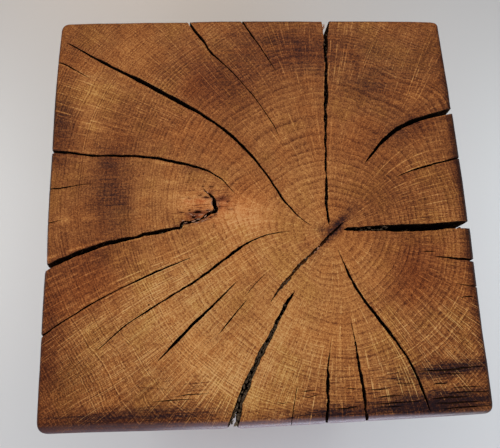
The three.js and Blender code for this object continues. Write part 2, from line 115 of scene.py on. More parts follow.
# Each crack: [x, y, width] along its centre line at the end face, which end runs
# out through a side, levels [z, width factor, from, to], and how ragged it is.
TOP_CRACKS = {
    "upper_left": ([
        [-144.2, 131.2, 0.5], [-138.3, 128.5, 1.0], [-126.1, 120.6, 1.7], [-112.4, 112.2, 2.5],
        [-98.6, 104.5, 2.9], [-84.9, 96.5, 3.5], [-71.2, 88.5, 3.7], [-59.3, 81.2, 3.5],
        [-40.9, 69.3, 2.9], [-26.5, 58.5, 2.6], [-16.3, 48.7, 2.5], [-1.8, 31.4, 1.7],
        [10.1, 12.5, 1.7], [16.5, 1.3, 1.5], [27.2, -11.5, 0.7], [35.7, -18.4, 0.2]],
        None, [[380, 0.75, 0.03, 0.96], [250, 0.15, 0.16, 0.84]], 0.10),
    "left_high": ([
        [-153.5, 43.0, 2.4], [-146.6, 42.2, 2.4], [-132.0, 40.4, 2.2], [-118.5, 38.5, 1.9],
        [-98.1, 37.9, 1.9], [-83.3, 36.8, 2.0], [-67.1, 33.9, 2.1], [-51.9, 29.9, 2.1],
        [-39.3, 25.7, 1.5], [-30.4, 20.6, 1.0], [-25.8, 16.4, 0.8], [-18.3, 7.3, 0.4]],
        "start", [[390, 0.75, 0, 0.92], [250, 0.2, 0, 0.5]], 0.14),
    "left_knot": ([
        [-153.5, -44.2, 4.1], [-146.8, -41.6, 3.8], [-134.9, -36.3, 3.7], [-125.0, -32.1, 3.3],
        [-116.3, -29.4, 3.1], [-108.4, -26.8, 2.9], [-94.7, -23.9, 2.7],
        [-85.8, -22.2, 2.4], [-82.9, -21.2, 2.3], [-79.4, -20.6, 2.4], [-76.4, -20.2, 2.5], [-72.9, -19.5, 2.8],
        [-69.9, -19.0, 2.9], [-66.5, -18.2, 2.5], [-63.0, -17.4, 2.1], [-60.0, -16.8, 1.9], [-57.6, -16.6, 2.0],
        [-56.8, -15.4, 2.2], [-56.0, -13.9, 2.2], [-54.6, -12.9, 2.3], [-52.1, -12.7, 2.0], [-49.8, -12.5, 1.8],
        [-47.9, -12.4, 2.0], [-45.9, -11.7, 2.2], [-44.1, -11.0, 1.8], [-42.4, -10.4, 1.3], [-40.6, -9.2, 1.8],
        [-38.9, -8.2, 2.2], [-37.4, -7.0, 2.4], [-35.9, -6.3, 2.0], [-33.9, -5.9, 2.3], [-32.6, -5.0, 3.3],
        [-32.1, -3.4, 3.5], [-32.9, -1.2, 2.9], [-33.2, 0.8, 3.0], [-33.3, 2.8, 2.3], [-34.1, 4.7, 2.0],
        [-35.3, 6.1, 1.7], [-36.9, 7.6, 1.4], [-38.7, 9.2, 1.0], [-40.1, 10.6, 0.7], [-40.9, 11.7, 0.4]],
        "start", [[395, 0.8, 0, 0.88], [260, 0.5, 0, 0.66], [110, 0.15, 0, 0.4]], 0.16),
    "left_low": ([
        [-153.5, -90.8, 1.6], [-145.3, -85.8, 1.2], [-133.5, -78.1, 1.0], [-117.3, -68.3, 1.0],
        [-100.8, -59.4, 0.9], [-80.7, -50.4, 1.4], [-65.3, -44.0, 1.3], [-49.4, -38.0, 0.4]],
        "start", [[415, 0.8, 0, 0.93], [350, 0.3, 0, 0.75]], 0.14),
    "front_left_long": ([
        [-112.1, -98.6, 0.4], [-96.6, -85.2, 0.9], [-88.9, -79.5, 0.8], [-73.2, -69.9, 1.0],
        [-58.5, -61.1, 1.3], [-44.4, -52.6, 1.6], [-28.1, -41.1, 1.7], [-18.3, -34.0, 2.0],
        [-13.0, -30.4, 1.3], [-0.1, -24.5, 0.9], [11.4, -22.1, 0.7], [20.0, -21.5, 0.2]],
        None, [[410, 0.8, 0.08, 0.93], [340, 0.25, 0.25, 0.8]], 0.15),
    "front_left_short": ([
        [-72.6, -106.7, 0.4], [-66.3, -100.5, 1.4], [-59.9, -94.1, 2.2], [-49.6, -84.3, 2.1],
        [-39.8, -75.4, 1.9], [-30.0, -66.2, 1.4], [-17.7, -54.8, 0.3]],
        None, [[400, 0.8, 0.05, 0.95], [320, 0.2, 0.2, 0.8]], 0.10),
    "front_wide": ([
        [20.7, -63.4, 0.4], [12.7, -73.8, 2.4], [7.2, -84.4, 2.6], [1.7, -94.8, 2.5],
        [-2.7, -101.0, 3.3], [-7.7, -110.4, 3.2], [-13.0, -120.8, 4.2], [-18.1, -131.4, 4.4],
        [-21.4, -140.8, 5.1], [-23.4, -146.1, 5.5], [-26.3, -154.5, 7.3]],
        "end", [[428, 0.60, 0.02, 1], [400, 0.42, 0.48, 1], [345, 0.36, 0.77, 1], [150, 0.30, 0.74, 1], [-8, 0.30, 0.70, 1]], 0.24),
    "front_mid": ([
        [43.0, -97.8, 0.2], [40.8, -107.5, 0.8], [39.7, -113.3, 1.1], [38.8, -124.2, 1.6],
        [37.8, -135.9, 1.9], [36.5, -146.7, 1.7], [35.6, -154.5, 1.2]],
        "end", [[400, 0.8, 0.1, 1], [340, 0.3, 0.4, 1]], 0.26),
    "front_straight": ([
        [57.1, -84.7, 0.3], [58.6, -95.7, 0.9], [60.1, -108.5, 1.3], [61.1, -122.2, 1.6],
        [62.0, -135.9, 1.9], [62.4, -146.8, 1.5], [62.7, -154.5, 1.2]],
        "end", [[390, 0.8, 0.05, 1], [300, 0.3, 0.35, 1]], 0.26),
    "front_right": ([
        [52.2, -34.6, 0.3], [55.8, -45.3, 0.9], [60.1, -56.5, 1.8], [64.8, -66.3, 2.1],
        [71.9, -77.3, 2.4], [81.2, -91.0, 2.3], [89.0, -103.0, 1.7], [94.0, -111.8, 1.4],
        [98.5, -122.7, 1.7], [101.5, -133.0, 1.9], [104.8, -145.1, 0.6]],
        None, [[395, 0.8, 0.04, 0.97], [280, 0.2, 0.2, 0.85]], 0.14),
    "right_wide": ([
        [57.6, -21.2, 2.4], [61.1, -20.9, 3.1], [69.9, -21.0, 3.4], [82.7, -20.8, 3.9],
        [95.4, -20.9, 4.5], [109.1, -21.1, 5.1], [121.9, -20.9, 5.1], [134.6, -20.4, 4.9],
        [146.4, -19.7, 4.9], [154.2, -19.1, 5.3]],
        "end", [[330, 0.9, 0.04, 1], [150, 0.75, 0.1, 1], [-8, 0.6, 0.2, 1]], 0.14),
    "right_curved": ([
        [77.5, 28.5, 0.5], [84.1, 36.2, 1.5], [92.1, 45.0, 2.4], [98.0, 50.1, 2.7],
        [105.5, 55.7, 3.0], [113.3, 59.5, 3.4], [121.5, 62.6, 3.8], [130.7, 65.3, 4.0],
        [139.5, 67.3, 4.0], [147.3, 69.3, 4.1], [154.2, 71.0, 4.5]],
        "end", [[370, 0.8, 0.05, 1], [200, 0.5, 0.3, 1], [70, 0.15, 0.65, 1]], 0.12),
    "right_thin": ([
        [99.6, 17.1, 0.4], [110.1, 21.5, 0.9], [122.9, 25.2, 1.3], [134.6, 28.1, 1.4],
        [147.6, 31.0, 1.4], [154.2, 32.2, 1.4]],
        "end", [[410, 0.7, 0.1, 1], [355, 0.3, 0.5, 1]], 0.14),
    "back_straight": ([
        [47.5, -17.4, 0.8], [47.1, -9.6, 2.0], [47.1, -0.7, 2.1], [47.6, 9.3, 1.7],
        [48.6, 28.7, 1.6], [49.8, 49.4, 1.5], [51.5, 70.6, 2.2], [52.7, 81.6, 2.4],
        [54.5, 107.1, 2.5], [56.2, 133.6, 3.1], [56.9, 143.4, 4.5], [57.4, 154.2, 6.5]],
        "end", [[400, 0.7, 0.04, 1], [230, 0.5, 0.12, 1], [-8, 0.4, 0.25, 1]], 0.24),
    "back_left": ([
        [-53.2, 154.2, 3.3], [-48.7, 145.5, 2.0], [-43.4, 137.5, 2.1], [-38.2, 130.0, 2.0],
        [-33.2, 121.1, 1.6], [-25.1, 112.4, 1.2], [-17.1, 104.0, 1.0], [-9.0, 93.0, 0.8],
        [-0.8, 81.8, 0.8], [10.7, 62.2, 0.7], [15.7, 50.0, 0.3]],
        "start", [[400, 0.75, 0, 0.8], [290, 0.25, 0, 0.35]], 0.12),
    "back_left_thin": ([
        [-11.4, 153.7, 1.6], [-7.2, 146.1, 1.4], [-0.6, 134.6, 1.3], [5.9, 123.6, 1.0],
        [16.5, 103.2, 0.3]],
        "start", [[425, 0.7, 0, 0.8], [395, 0.3, 0, 0.45]], 0.10),
    "right_low": ([
        [120.0, -42.3, 0.3], [129.7, -43.4, 1.2], [139.5, -44.7, 1.6], [147.6, -45.9, 2.0],
        [154.2, -46.7, 2.2]],
        "end", [[420, 0.7, 0.1, 1], [375, 0.3, 0.5, 1]], 0.14),
}
# The shake through the pith crosses the others' ends, so it is cut by itself.
HEART_SHAKE = ([
    [58.9, -15.2, 0.7], [52.3, -20.8, 1.5], [44.4, -28.1, 1.9], [36.6, -35.5, 1.8],
    [29.7, -41.4, 2.0], [22.9, -47.5, 2.7], [15.5, -56.1, 2.8], [9.7, -62.4, 1.8],
    [3.3, -70.9, 0.3]],
    None, [[448.6, 0.85, 0.01, 0.99], [446.2, 0.42, 0.03, 0.96]], 0.30)

# Hairline checks, only a few millimetres deep: line and depth.
HAIRLINES = [
    ([[-32.1, -90.7, 0.4], [-21.9, -78.9, 1.0], [-11.8, -67.5, 0.3]], "", 9),
    ([[-13.0, -65.4, 0.3], [-6.7, -58.1, 0.7], [2.1, -50.1, 0.2]], "", 7),
    ([[132.7, -61.5, 0.3], [141.0, -63.4, 0.8], [147.6, -64.3, 1.0], [153.5, -65.0, 1.0]], "end", 12),
    ([[-154.0, 116.9, 1.2], [-146.3, 113.7, 1.1], [-140.6, 110.9, 1.1], [-124.4, 100.5, 0.4]], "start", 14),
    ([[-154.0, 14.0, 1.1], [-146.6, 14.0, 1.1], [-141.0, 14.2, 1.1], [-126.8, 16.5, 0.5], [-117.2, 16.9, 0.2]],
     "start", 12),
    ([[-154.0, -11.4, 0.8], [-146.7, -10.6, 0.7], [-137.8, -8.6, 0.3]], "start", 8),
    ([[18.5, -124.7, 0.3], [16.6, -133.0, 0.6], [14.1, -144.7, 0.6], [12.6, -154.0, 0.6]], "end", 6),
]
# Thin dark tears along the front edge: x from, x to, y, width.
TEARS = [
    (66, 100.5, -138.6, 0.8), (70, 88, -141.4, 0.5), (106, 132, -137.2, 0.9), (107.5, 140, -140.2, 0.9),
    (112, 146, -143.2, 0.8), (65, 80, -129.4, 0.6), (84, 96.5, -126.6, 0.5), (20, 31, -129.4, 0.7),
    (20, 34, -132.2, 0.5), (4, 14, -135.4, 0.4), (41.5, 59, -140.6, 0.8), (-76, -46, -131.8, 0.5),
    (-62, -38, -128.8, 0.5), (100.5, 146, -119.0, 1.0), (110, 130, -122.4, 0.6), (120, 141, -130.5, 0.5),
    (116, 146, -134.2, 0.7), (70.5, 87.5, -134.4, 0.7), (49, 58, -128.2, 0.5), (111, 122, -38.6, 0.6),
    (134.5, 145, -71.2, 0.7), (108, 119, -127.4, 0.6),
]

FOOT_CRACKS = {
    "foot_back_left": ([
        [22.0, 14.0, 0.4], [-6.0, 44.0, 1.4], [-40.0, 72.0, 2.2], [-76.0, 96.0, 2.4],
        [-108.0, 116.0, 1.6], [-130.0, 128.0, 0.4]],
        None, [[60, 0.7, 0.06, 0.94], [150, 0.2, 0.25, 0.75]], 0.14),
    "foot_left": ([
        [-2.0, -44.0, 0.4], [-40.0, -60.0, 1.4], [-80.0, -74.0, 2.0], [-118.0, -90.0, 2.6],
        [-153.5, -107.0, 3.2]],
        "end", [[70, 0.7, 0.1, 1], [170, 0.2, 0.5, 1]], 0.14),
    "foot_front_right": ([
        [76.0, -62.0, 0.4], [92.0, -90.0, 1.6], [108.0, -118.0, 2.2], [122.0, -143.0, 2.6],
        [128.0, -154.5, 2.8]],
        "end", [[60, 0.7, 0.1, 1], [140, 0.25, 0.45, 1]], 0.14),
    "foot_back_right": ([
        [70.0, 14.0, 0.4], [90.0, 46.0, 1.6], [108.0, 82.0, 2.0], [122.0, 112.0, 1.4],
        [130.0, 130.0, 0.4]],
        None, [[50, 0.7, 0.08, 0.92], [120, 0.2, 0.25, 0.75]], 0.14),
}

# ---- seeded noise -----------------------------------------------------------


def scatter(*cells, seed=0):
    """A fixed pseudo-random number in -1..1 for each whole-numbered cell."""
    h = np.full(np.shape(cells[0]), (seed * 2654435761 + 97) & 0xFFFFFFFF, np.uint64)
    for c in cells:
        h = (h ^ (np.asarray(c).astype(np.int64) & 0xFFFFFFFF).astype(np.uint64)) * np.uint64(1597334677)
        h &= np.uint64(0xFFFFFFFF)
        h ^= h >> np.uint64(15)
        h = (h * np.uint64(3812015801)) & np.uint64(0xFFFFFFFF)
        h ^= h >> np.uint64(13)
    return h / 2.0 ** 31 - 1.0


def noise(*coords, seed=0):
    """Smooth value noise in -1..1, one cell per unit."""
    coords = np.broadcast_arrays(*[np.asarray(c, float) for c in coords])
    base = [np.floor(c) for c in coords]
    part = [(c - b) for c, b in zip(coords, base)]
    part = [p * p * (3 - 2 * p) for p in part]
    total = 0.0
    for corner in np.ndindex(*(2,) * len(coords)):
        weight, cells = 1.0, []
        for step, b, p in zip(corner, base, part):
            weight = weight * (p if step else 1 - p)
            cells.append(b + step)
        total = total + weight * scatter(*cells, seed=seed)
    return total


def fractal(*coords, seed=0, octaves=3):
    total, size = 0.0, 1.0
    for k in range(octaves):
        total = total + size * noise(*[np.asarray(c, float) * 2 ** k for c in coords], seed=seed + 31 * k)
        size *= 0.5
    return total


# ---- lines --------------------------------------------------------------------


def lengths(points):
    points = np.asarray(points, float)
    return np.r_[0, np.cumsum(np.hypot(*(points[1:, :2] - points[:-1, :2]).T))]


def smooth_line(points, step):
    """Even points about a step apart on a smooth curve through the given ones."""
    p = np.asarray(points, float)
    ends = np.vstack([2 * p[0] - p[1], p, 2 * p[-1] - p[-2]])
    out = []
    for i in range(1, len(p)):
        a, b, c, d = ends[i - 1], ends[i], ends[i + 1], ends[i + 2]
        t = np.linspace(0, 1, 9)[:-1, None]
        out.append(0.5 * (2 * b + (c - a) * t + (2 * a - 5 * b + 4 * c - d) * t ** 2
                          + (3 * b - a - 3 * c + d) * t ** 3))
    out.append(p[-1:])
    fine = np.vstack(out)
    s = lengths(fine)
    n = max(int(round(s[-1] / step)), 3)
    at = np.linspace(0, s[-1], n + 1)
    return np.stack([np.interp(at, s, fine[:, k]) for k in range(p.shape[1])], 1)


def extend(line, open_end):
    line = [list(p) for p in line]

    def grow(near, far):
        size = math.hypot(far[0] - near[0], far[1] - near[1])
        return [far[0] + RUN_OUT * (far[0] - near[0]) / size, far[1] + RUN_OUT * (far[1] - near[1]) / size, far[2]]
    if open_end == "start":
        return [grow(line[1], line[0])] + line
    if open_end == "end":
        return line + [grow(line[-2], line[-1])]
    return line


def wind(points, z):
    """The grain winds round the pith, so everything turns with depth."""
    angle = TWIST * (HEIGHT - z) / HEIGHT
    d = np.asarray(points, float)[..., :2] - PITH
    c, s = np.cos(angle), np.sin(angle)
    return np.stack([PITH[0] + d[..., 0] * c - d[..., 1] * s, PITH[1] + d[..., 0] * s + d[..., 1] * c], -1)


# ---- the outside of the block as one unfolded sheet ------------------------------

SIDE_CELLS = 108
CORNER_CELLS = 7
RIM_ARC = TOP_ROUND * math.pi / 2
SIDE_DROP = HEIGHT - TOP_ROUND - FOOT_ROUND
FOOT_ARC = FOOT_ROUND * math.pi / 2
SKIRT = RIM_ARC + SIDE_DROP + FOOT_ARC     # from the flat top down to the flat underside


def plan_sides():
    """The four sides of the plan, each from the middle of one corner to the next."""
    faces = [BACK, LEFT, FRONT, RIGHT]

    def bend(a, b, towards, t):
        a, b, towards = map(np.array, (a, b, towards))
        t = np.asarray(t)[:, None]
        return (1 - t) ** 2 * a + 2 * t * (1 - t) * towards + t ** 2 * b
    sides = []
    for k, face in enumerate(faces):
        before = bend(faces[k - 1][-1], face[0], CORNERS[k - 1], np.linspace(0.5, 1, 7))[:-1]
        after = bend(face[-1], faces[(k + 1) % 4][0], CORNERS[k], np.linspace(0, 0.5, 7))[1:]
        sides.append(np.vstack([before, face, after]))
    return sides


def side_steps():
    """Where the grid lines meet a side, 0 to 1: close together at the corners."""
    i = np.arange(SIDE_CELLS)
    far = np.minimum(i, SIDE_CELLS - 1 - i)
    w = 0.9 + 2.1 * np.clip((far - CORNER_CELLS + 1) / 5, 0, 1)
    s = np.r_[0, np.cumsum(w)]
    return s / s[-1]


def plan_loop():
    """The plan as one closed loop of 4 x SIDE_CELLS points, anticlockwise from the back right corner."""
    at = side_steps()
    loop = []
    for side in plan_sides():
        s = lengths(side)
        loop.append(np.stack([np.interp(at * s[-1], s, side[:, k]) for k in (0, 1)], 1)[:-1])
    return np.vstack(loop)


def fill(loop):
    """A square grid of points inside a closed loop of 4 x n points."""
    n = SIDE_CELLS
    back, left, front, right = (loop[k * n:(k + 1) * n] for k in range(4))
    top = np.vstack([back, left[:1]])[::-1]
    bottom = np.vstack([front, right[:1]])
    west = np.vstack([left, front[:1]])[::-1]
    east = np.vstack([right, back[:1]])
    u = side_steps()[None, :, None]
    v = side_steps()[:, None, None]
    return ((1 - v) * bottom[None] + v * top[None] + (1 - u) * west[:, None] + u * east[:, None]
            - (1 - u) * (1 - v) * bottom[0] - u * (1 - v) * bottom[-1]
            - (1 - u) * v * top[0] - u * v * top[-1])


def relief(x, y):
    """The top is sanded flat but not perfectly: hundredths of a millimetre."""
    edge = np.clip((142.0 - np.maximum(np.abs(x), np.abs(y))) / 12, 0, 1)
    return edge * (0.06 * noise(x / 27.0, y / 27.0, seed=9) + 0.02 * noise(x / 8.0, y / 8.0, seed=10))


class Shell:
    def __init__(self):
        self.loop = plan_loop()
        self.n = len(self.loop)
        t = np.roll(self.loop, -1, 0) - np.roll(self.loop, 1, 0)
        t /= np.linalg.norm(t, axis=1)[:, None]
        self.normal = np.stack([t[:, 1], -t[:, 0]], 1)
        # tightness of the corners: the rim must not be rounded further in than they allow
        ahead, behind = np.roll(self.loop, -1, 0) - self.loop, self.loop - np.roll(self.loop, 1, 0)
        turn = np.abs(ahead[:, 0] * behind[:, 1] - ahead[:, 1] * behind[:, 0])
        turn /= np.linalg.norm(ahead, axis=1) * np.linalg.norm(behind, axis=1)
        radius = np.clip(np.linalg.norm(ahead, axis=1) / np.maximum(turn, 1e-6), 0, 60)
        radius = np.min([np.roll(radius, k) for k in range(-3, 4)], 0)
        radius = np.mean([np.roll(radius, k) for k in range(-2, 3)], 0)
        step = np.linalg.norm(np.roll(self.loop, -1, 0) - self.loop, axis=1)
        self.perimeter = np.r_[0, np.cumsum(step)][:-1]
        p = self.perimeter
        self.wear = 1 + 0.13 * noise(p / 34.0, seed=3) + 0.05 * noise(p / 9.0, seed=4)
        self.wear[-4:] = np.linspace(self.wear[-5], self.wear[0], 6)[1:-1]
        self.wear = np.minimum(self.wear, 0.72 * radius / TOP_ROUND)
        self.inner = self.loop - self.normal * (TOP_ROUND * self.wear)[:, None]
        angle = []
        for k in range(4):
            i = np.arange(SIDE_CELLS)
            swing = -45 * np.clip(1 - i / CORNER_CELLS, 0, 1) + 45 * np.clip((i - SIDE_CELLS) / CORNER_CELLS + 1, 0, 1)
            angle.append(90 + 90 * k + swing)
        self.angle = np.radians(np.concatenate(angle))

    def inset(self, z):
        if z > HEIGHT - TOP_ROUND:
            return TOP_ROUND * (1 - math.sin(math.acos(max(1 - (HEIGHT - z) / TOP_ROUND, 0.0)))) * self.wear
        if z < FOOT_ROUND:
            return np.full(self.n, FOOT_ROUND * (1 - math.cos(math.asin(min(1 - z / FOOT_ROUND, 1.0)))))
        return np.zeros(self.n)

    def down(self, z):
        """Distance along the skirt from the flat top to a height."""
        if z > HEIGHT - TOP_ROUND:
            return TOP_ROUND * math.acos(max(1 - (HEIGHT - z) / TOP_ROUND, 0.0))
        if z < FOOT_ROUND:
            return RIM_ARC + SIDE_DROP + FOOT_ROUND * math.asin(min(1 - z / FOOT_ROUND, 1.0))
        return RIM_ARC + HEIGHT - TOP_ROUND - z

    def level(self, z):
        """The outline at a height, with the faint waves left by the saw and the scraper."""
        fade = min(max((z - 2) / 30, 0), 1) * min(max((HEIGHT - 3 - z) / 40, 0), 1)
        p = self.perimeter
        wave = fade * (0.22 * noise(p / 47.0, z / 210.0, seed=6) + 0.10 * noise(p / 8.0, z / 120.0, seed=7)
                       + 0.06 * noise(p / 60.0, z / 11.0, seed=8) - 0.12)
        wave[-3:] = wave[-4] + (wave[0] - wave[-4]) * np.array([0.25, 0.5, 0.75])
        return self.loop + self.normal * (wave - self.inset(z))[:, None]

    def unfold(self, j, t):
        """A point of the skirt laid flat round the top: j along the loop, t down the skirt."""
        j = np.asarray(j, float)
        a = np.floor(j).astype(int) % self.n
        b = (a + 1) % self.n
        f = j - np.floor(j)
        swing = (self.angle[b] - self.angle[a] + math.pi) % (2 * math.pi) - math.pi
        angle = self.angle[a] + swing * f
        base = self.inner[a] * (1 - f)[..., None] + self.inner[b] * f[..., None]
        return base + np.stack([np.cos(angle), np.sin(angle)], -1) * np.asarray(t)[..., None]

    def settle(self, xy):
        """Points seen from above put on the top or its rounded rim: unfolded place and height."""
        a, b = self.loop, np.roll(self.loop, -1, 0)
        ab = b - a
        ap = xy[:, None] - a[None]
        f = np.clip((ap * ab).sum(-1) / (ab ** 2).sum(-1), 0, 1)
        away = np.linalg.norm(ap - f[..., None] * ab, axis=-1)
        k = away.argmin(1)
        row = np.arange(len(xy))
        f, away = f[row, k], away[row, k]
        wear = self.wear[k] * (1 - f) + self.wear[(k + 1) % self.n] * f
        flat = away >= TOP_ROUND * wear
        turn = np.arcsin(np.clip(1 - away / (TOP_ROUND * wear), 0, 1))
        z = np.where(flat, HEIGHT + relief(xy[:, 0], xy[:, 1]), HEIGHT - TOP_ROUND * (1 - np.cos(turn)))
        place = np.where(flat[:, None], xy, self.unfold(k + f, TOP_ROUND * turn))
        return place, z

    def leave(self, side, outline):
        """Where a crack's side runs out through an outline: how far along it, the point, and j."""
        p, q = side[:-1], side[1:]
        a, b = outline, np.roll(outline, -1, 0)
        d, e = q - p, b - a
        w = a[None] - p[:, None]
        cross = d[:, None, 0] * e[None, :, 1] - d[:, None, 1] * e[None, :, 0]
        cross = np.where(np.abs(cross) < 1e-12, 1e-12, cross)
        s = (w[..., 0] * e[None, :, 1] - w[..., 1] * e[None, :, 0]) / cross
        u = (w[..., 0] * d[:, None, 1] - w[..., 1] * d[:, None, 0]) / cross
        hit = (s >= 0) & (s < 1) & (u >= 0) & (u < 1)
        i, k = np.argwhere(hit)[0]
        return i, p[i] + d[i] * s[i, k], k + u[i, k]


shell = Shell()


class Mesh:
    """Vertices, with how deep in a crack each is and how pale it is, and the faces of the walls."""

    def __init__(self):
        self.verts, self.deep, self.pale, self.walls, self.count = [], [], [], [], 0

    def put(self, points, deep=0.0, pale=0.0):
        points = np.asarray(points, float).reshape(-1, 3)
        self.verts.append(points)
        self.deep.append(np.broadcast_to(np.asarray(deep, float), len(points)))
        self.pale.append(np.full(len(points), float(pale)))
        self.count += len(points)
        return np.arange(self.count - len(points), self.count)


class Sheet:
    """Points of a plane, joined into triangles everywhere but inside the holes."""

    def __init__(self):
        self.points, self.ids, self.edges, self.holes = [], [], [], []
        self.count, self.border = 0, None

    def put(self, points, ids):
        self.points.append(np.asarray(points, float))
        self.ids.append(np.asarray(ids))
        self.count += len(ids)

    def chain(self, points, ids, closed=False):
        at = np.arange(self.count, self.count + len(ids))
        self.put(points, ids)
        self.edges += [(int(a), int(b)) for a, b in zip(at[:-1], at[1:])]
        if closed:
            self.edges.append((int(at[-1]), int(at[0])))

    def bound(self, points, ids):
        self.border = (self.count, self.count + len(ids))
        self.chain(points, ids, closed=True)

    def keep(self, points, gap=0.75):
        """Which loose points are clear of every hole."""
        good = np.ones(len(points), bool)
        for hole in self.holes:
            lo, hi = hole.min(0) - gap, hole.max(0) + gap
            near = np.flatnonzero(good & (points > lo).all(1) & (points < hi).all(1))
            if not len(near):
                continue
            q = points[near]
            bad = within(q, hole)
            a, ab = hole, np.roll(hole, -1, 0) - hole
            for s in range(0, len(q), 400):
                ap = q[s:s + 400, None] - a[None]
                f = np.clip((ap * ab).sum(-1) / ((ab ** 2).sum(-1) + 1e-12), 0, 1)
                bad[s:s + 400] |= (np.linalg.norm(ap - f[..., None] * ab, axis=-1) < gap).any(1)
            good[near[bad]] = False
        return good

    def beyond(self, tri):
        """Slivers outside a hollow stretch of the border: they go round it the wrong way."""
        first, last = self.border
        a, b, c = (tri - first).T
        onward = ((a < b) & (b < c)) | ((b < c) & (c < a)) | ((c < a) & (a < b))
        p = np.vstack(self.points)[tri]
        ab, ac = p[:, 1] - p[:, 0], p[:, 2] - p[:, 0]
        thin = np.abs(ab[:, 0] * ac[:, 1] - ab[:, 1] * ac[:, 0]) < 0.3
        return ((tri >= first) & (tri < last)).all(1) & (thin | ~onward)

    def triangles(self):
        points, ids = np.vstack(self.points), np.concatenate(self.ids)
        verts, _, faces, came, _, _ = delaunay_2d_cdt([Vector(p) for p in points.tolist()], self.edges, [], 1, 1e-6, True)
        lost = [tuple(v) for v, c in zip(verts, came) if not c]
        if lost:
            raise RuntimeError(f"cracks touch near {lost[:6]}")
        back = np.array([c[0] for c in came])
        tri = back[np.array([f[:] for f in faces])]
        p = points[tri]
        ab, ac = p[:, 1] - p[:, 0], p[:, 2] - p[:, 0]
        if (ab[:, 0] * ac[:, 1] - ab[:, 1] * ac[:, 0]).sum() < 0:
            tri = tri[:, ::-1]
        centre = p.mean(1)
        inside = self.beyond(tri)
        for hole in self.holes:
            lo, hi = hole.min(0), hole.max(0)
            near = np.flatnonzero((centre > lo).all(1) & (centre < hi).all(1))
            for s in range(0, len(near), 10000):
                part = near[s:s + 10000]
                inside[part[within(centre[part], hole)]] = True
        return ids[tri][~inside]


def within(points, polygon):
    x, y = points[:, 0:1], points[:, 1:2]
    a, b = polygon, np.roll(polygon, -1, 0)
    cross = ((a[:, 1] > y) != (b[:, 1] > y))
    dy = b[:, 1] - a[:, 1]
    at = a[:, 0] + (y - a[:, 1]) / np.where(dy == 0, 1e-12, dy) * (b[:, 0] - a[:, 0])
    return (cross & (x < at)).sum(1) % 2 == 1


mesh_parts = Mesh()
top_sheet, foot_sheet = Sheet(), Sheet()

# ---- cracks ---------------------------------------------------------------------------

# depth under the surface and how far the worn lip flares there
LIPS = [(0.0, 0.12), (0.12, 0.07), (0.5, 0.02), (1.6, 0.0), (8.0, 0.0)]
SHAKE_LIPS = [(0.0, 0.12), (0.12, 0.07), (0.5, 0.02), (1.3, 0.0), (2.4, 0.0), (6.0, 0.0)]


def levels_at(levels, heights):
    z = np.array([row[0] for row in levels], float)
    order = np.argsort(z)
    return [tuple(float(np.interp(h, z[order], np.array([row[k] for row in levels])[order])) for k in (1, 2, 3))
            for h in heights]


def crack_rings(levels, top, lips):
    """(depth from the end face, z, width factor, from, to, lip) from the mouth inwards."""
    end = HEIGHT if top else 0.0
    sign = -1.0 if top else 1.0
    known = [[end, 1.0, 0.0, 1.0], [end + sign * min(8.0, abs(levels[0][0] - end) * 0.5), 1.0, 0.0, 1.0]] + levels
    last = levels[-1][0]
    through = last < 0
    reach = HEIGHT if through else abs(last - end)
    depths = [d for d, _ in lips if d < reach - 0.2]
    while depths[-1] < reach - 1e-6:
        left = reach - depths[-1]
        if through and left < 55:
            depths += [HEIGHT - FOOT_ROUND - 0.6, HEIGHT - FOOT_ROUND * 0.6, HEIGHT - FOOT_ROUND * 0.25, HEIGHT - 0.25, HEIGHT]
            break
        stride = min(8 + depths[-1] * 0.8, 50)
        depths.append(reach if left < 1.5 * stride else depths[-1] + stride)
    flare = {d: lip for d, lip in lips}
    heights = [end + sign * d for d in depths]
    return [(d, z, *row, flare.get(d, 0.0)) for d, z, row in zip(depths, heights, levels_at(known, heights))], through


def unfolded_sides(centre, nrm, half, sway, sign):
    """One side of a crack, with the folds of its tight bends drawn out."""
    side = centre + nrm * (sign * half + sway)[:, None]
    t = np.gradient(centre, axis=0)
    t /= np.linalg.norm(t, axis=1)[:, None] + 1e-12
    for _ in range(40):
        move = ((side[1:] - side[:-1]) * (t[1:] + t[:-1])).sum(1)
        bad = np.flatnonzero(move < 0.25 * np.linalg.norm(centre[1:] - centre[:-1], axis=1))
        if not len(bad):
            break
        touched = np.unique(np.clip(np.r_[bad - 1, bad, bad + 1, bad + 2], 1, len(side) - 2))
        side[touched] = 0.5 * side[touched] + 0.25 * (side[touched - 1] + side[touched + 1])
    return side


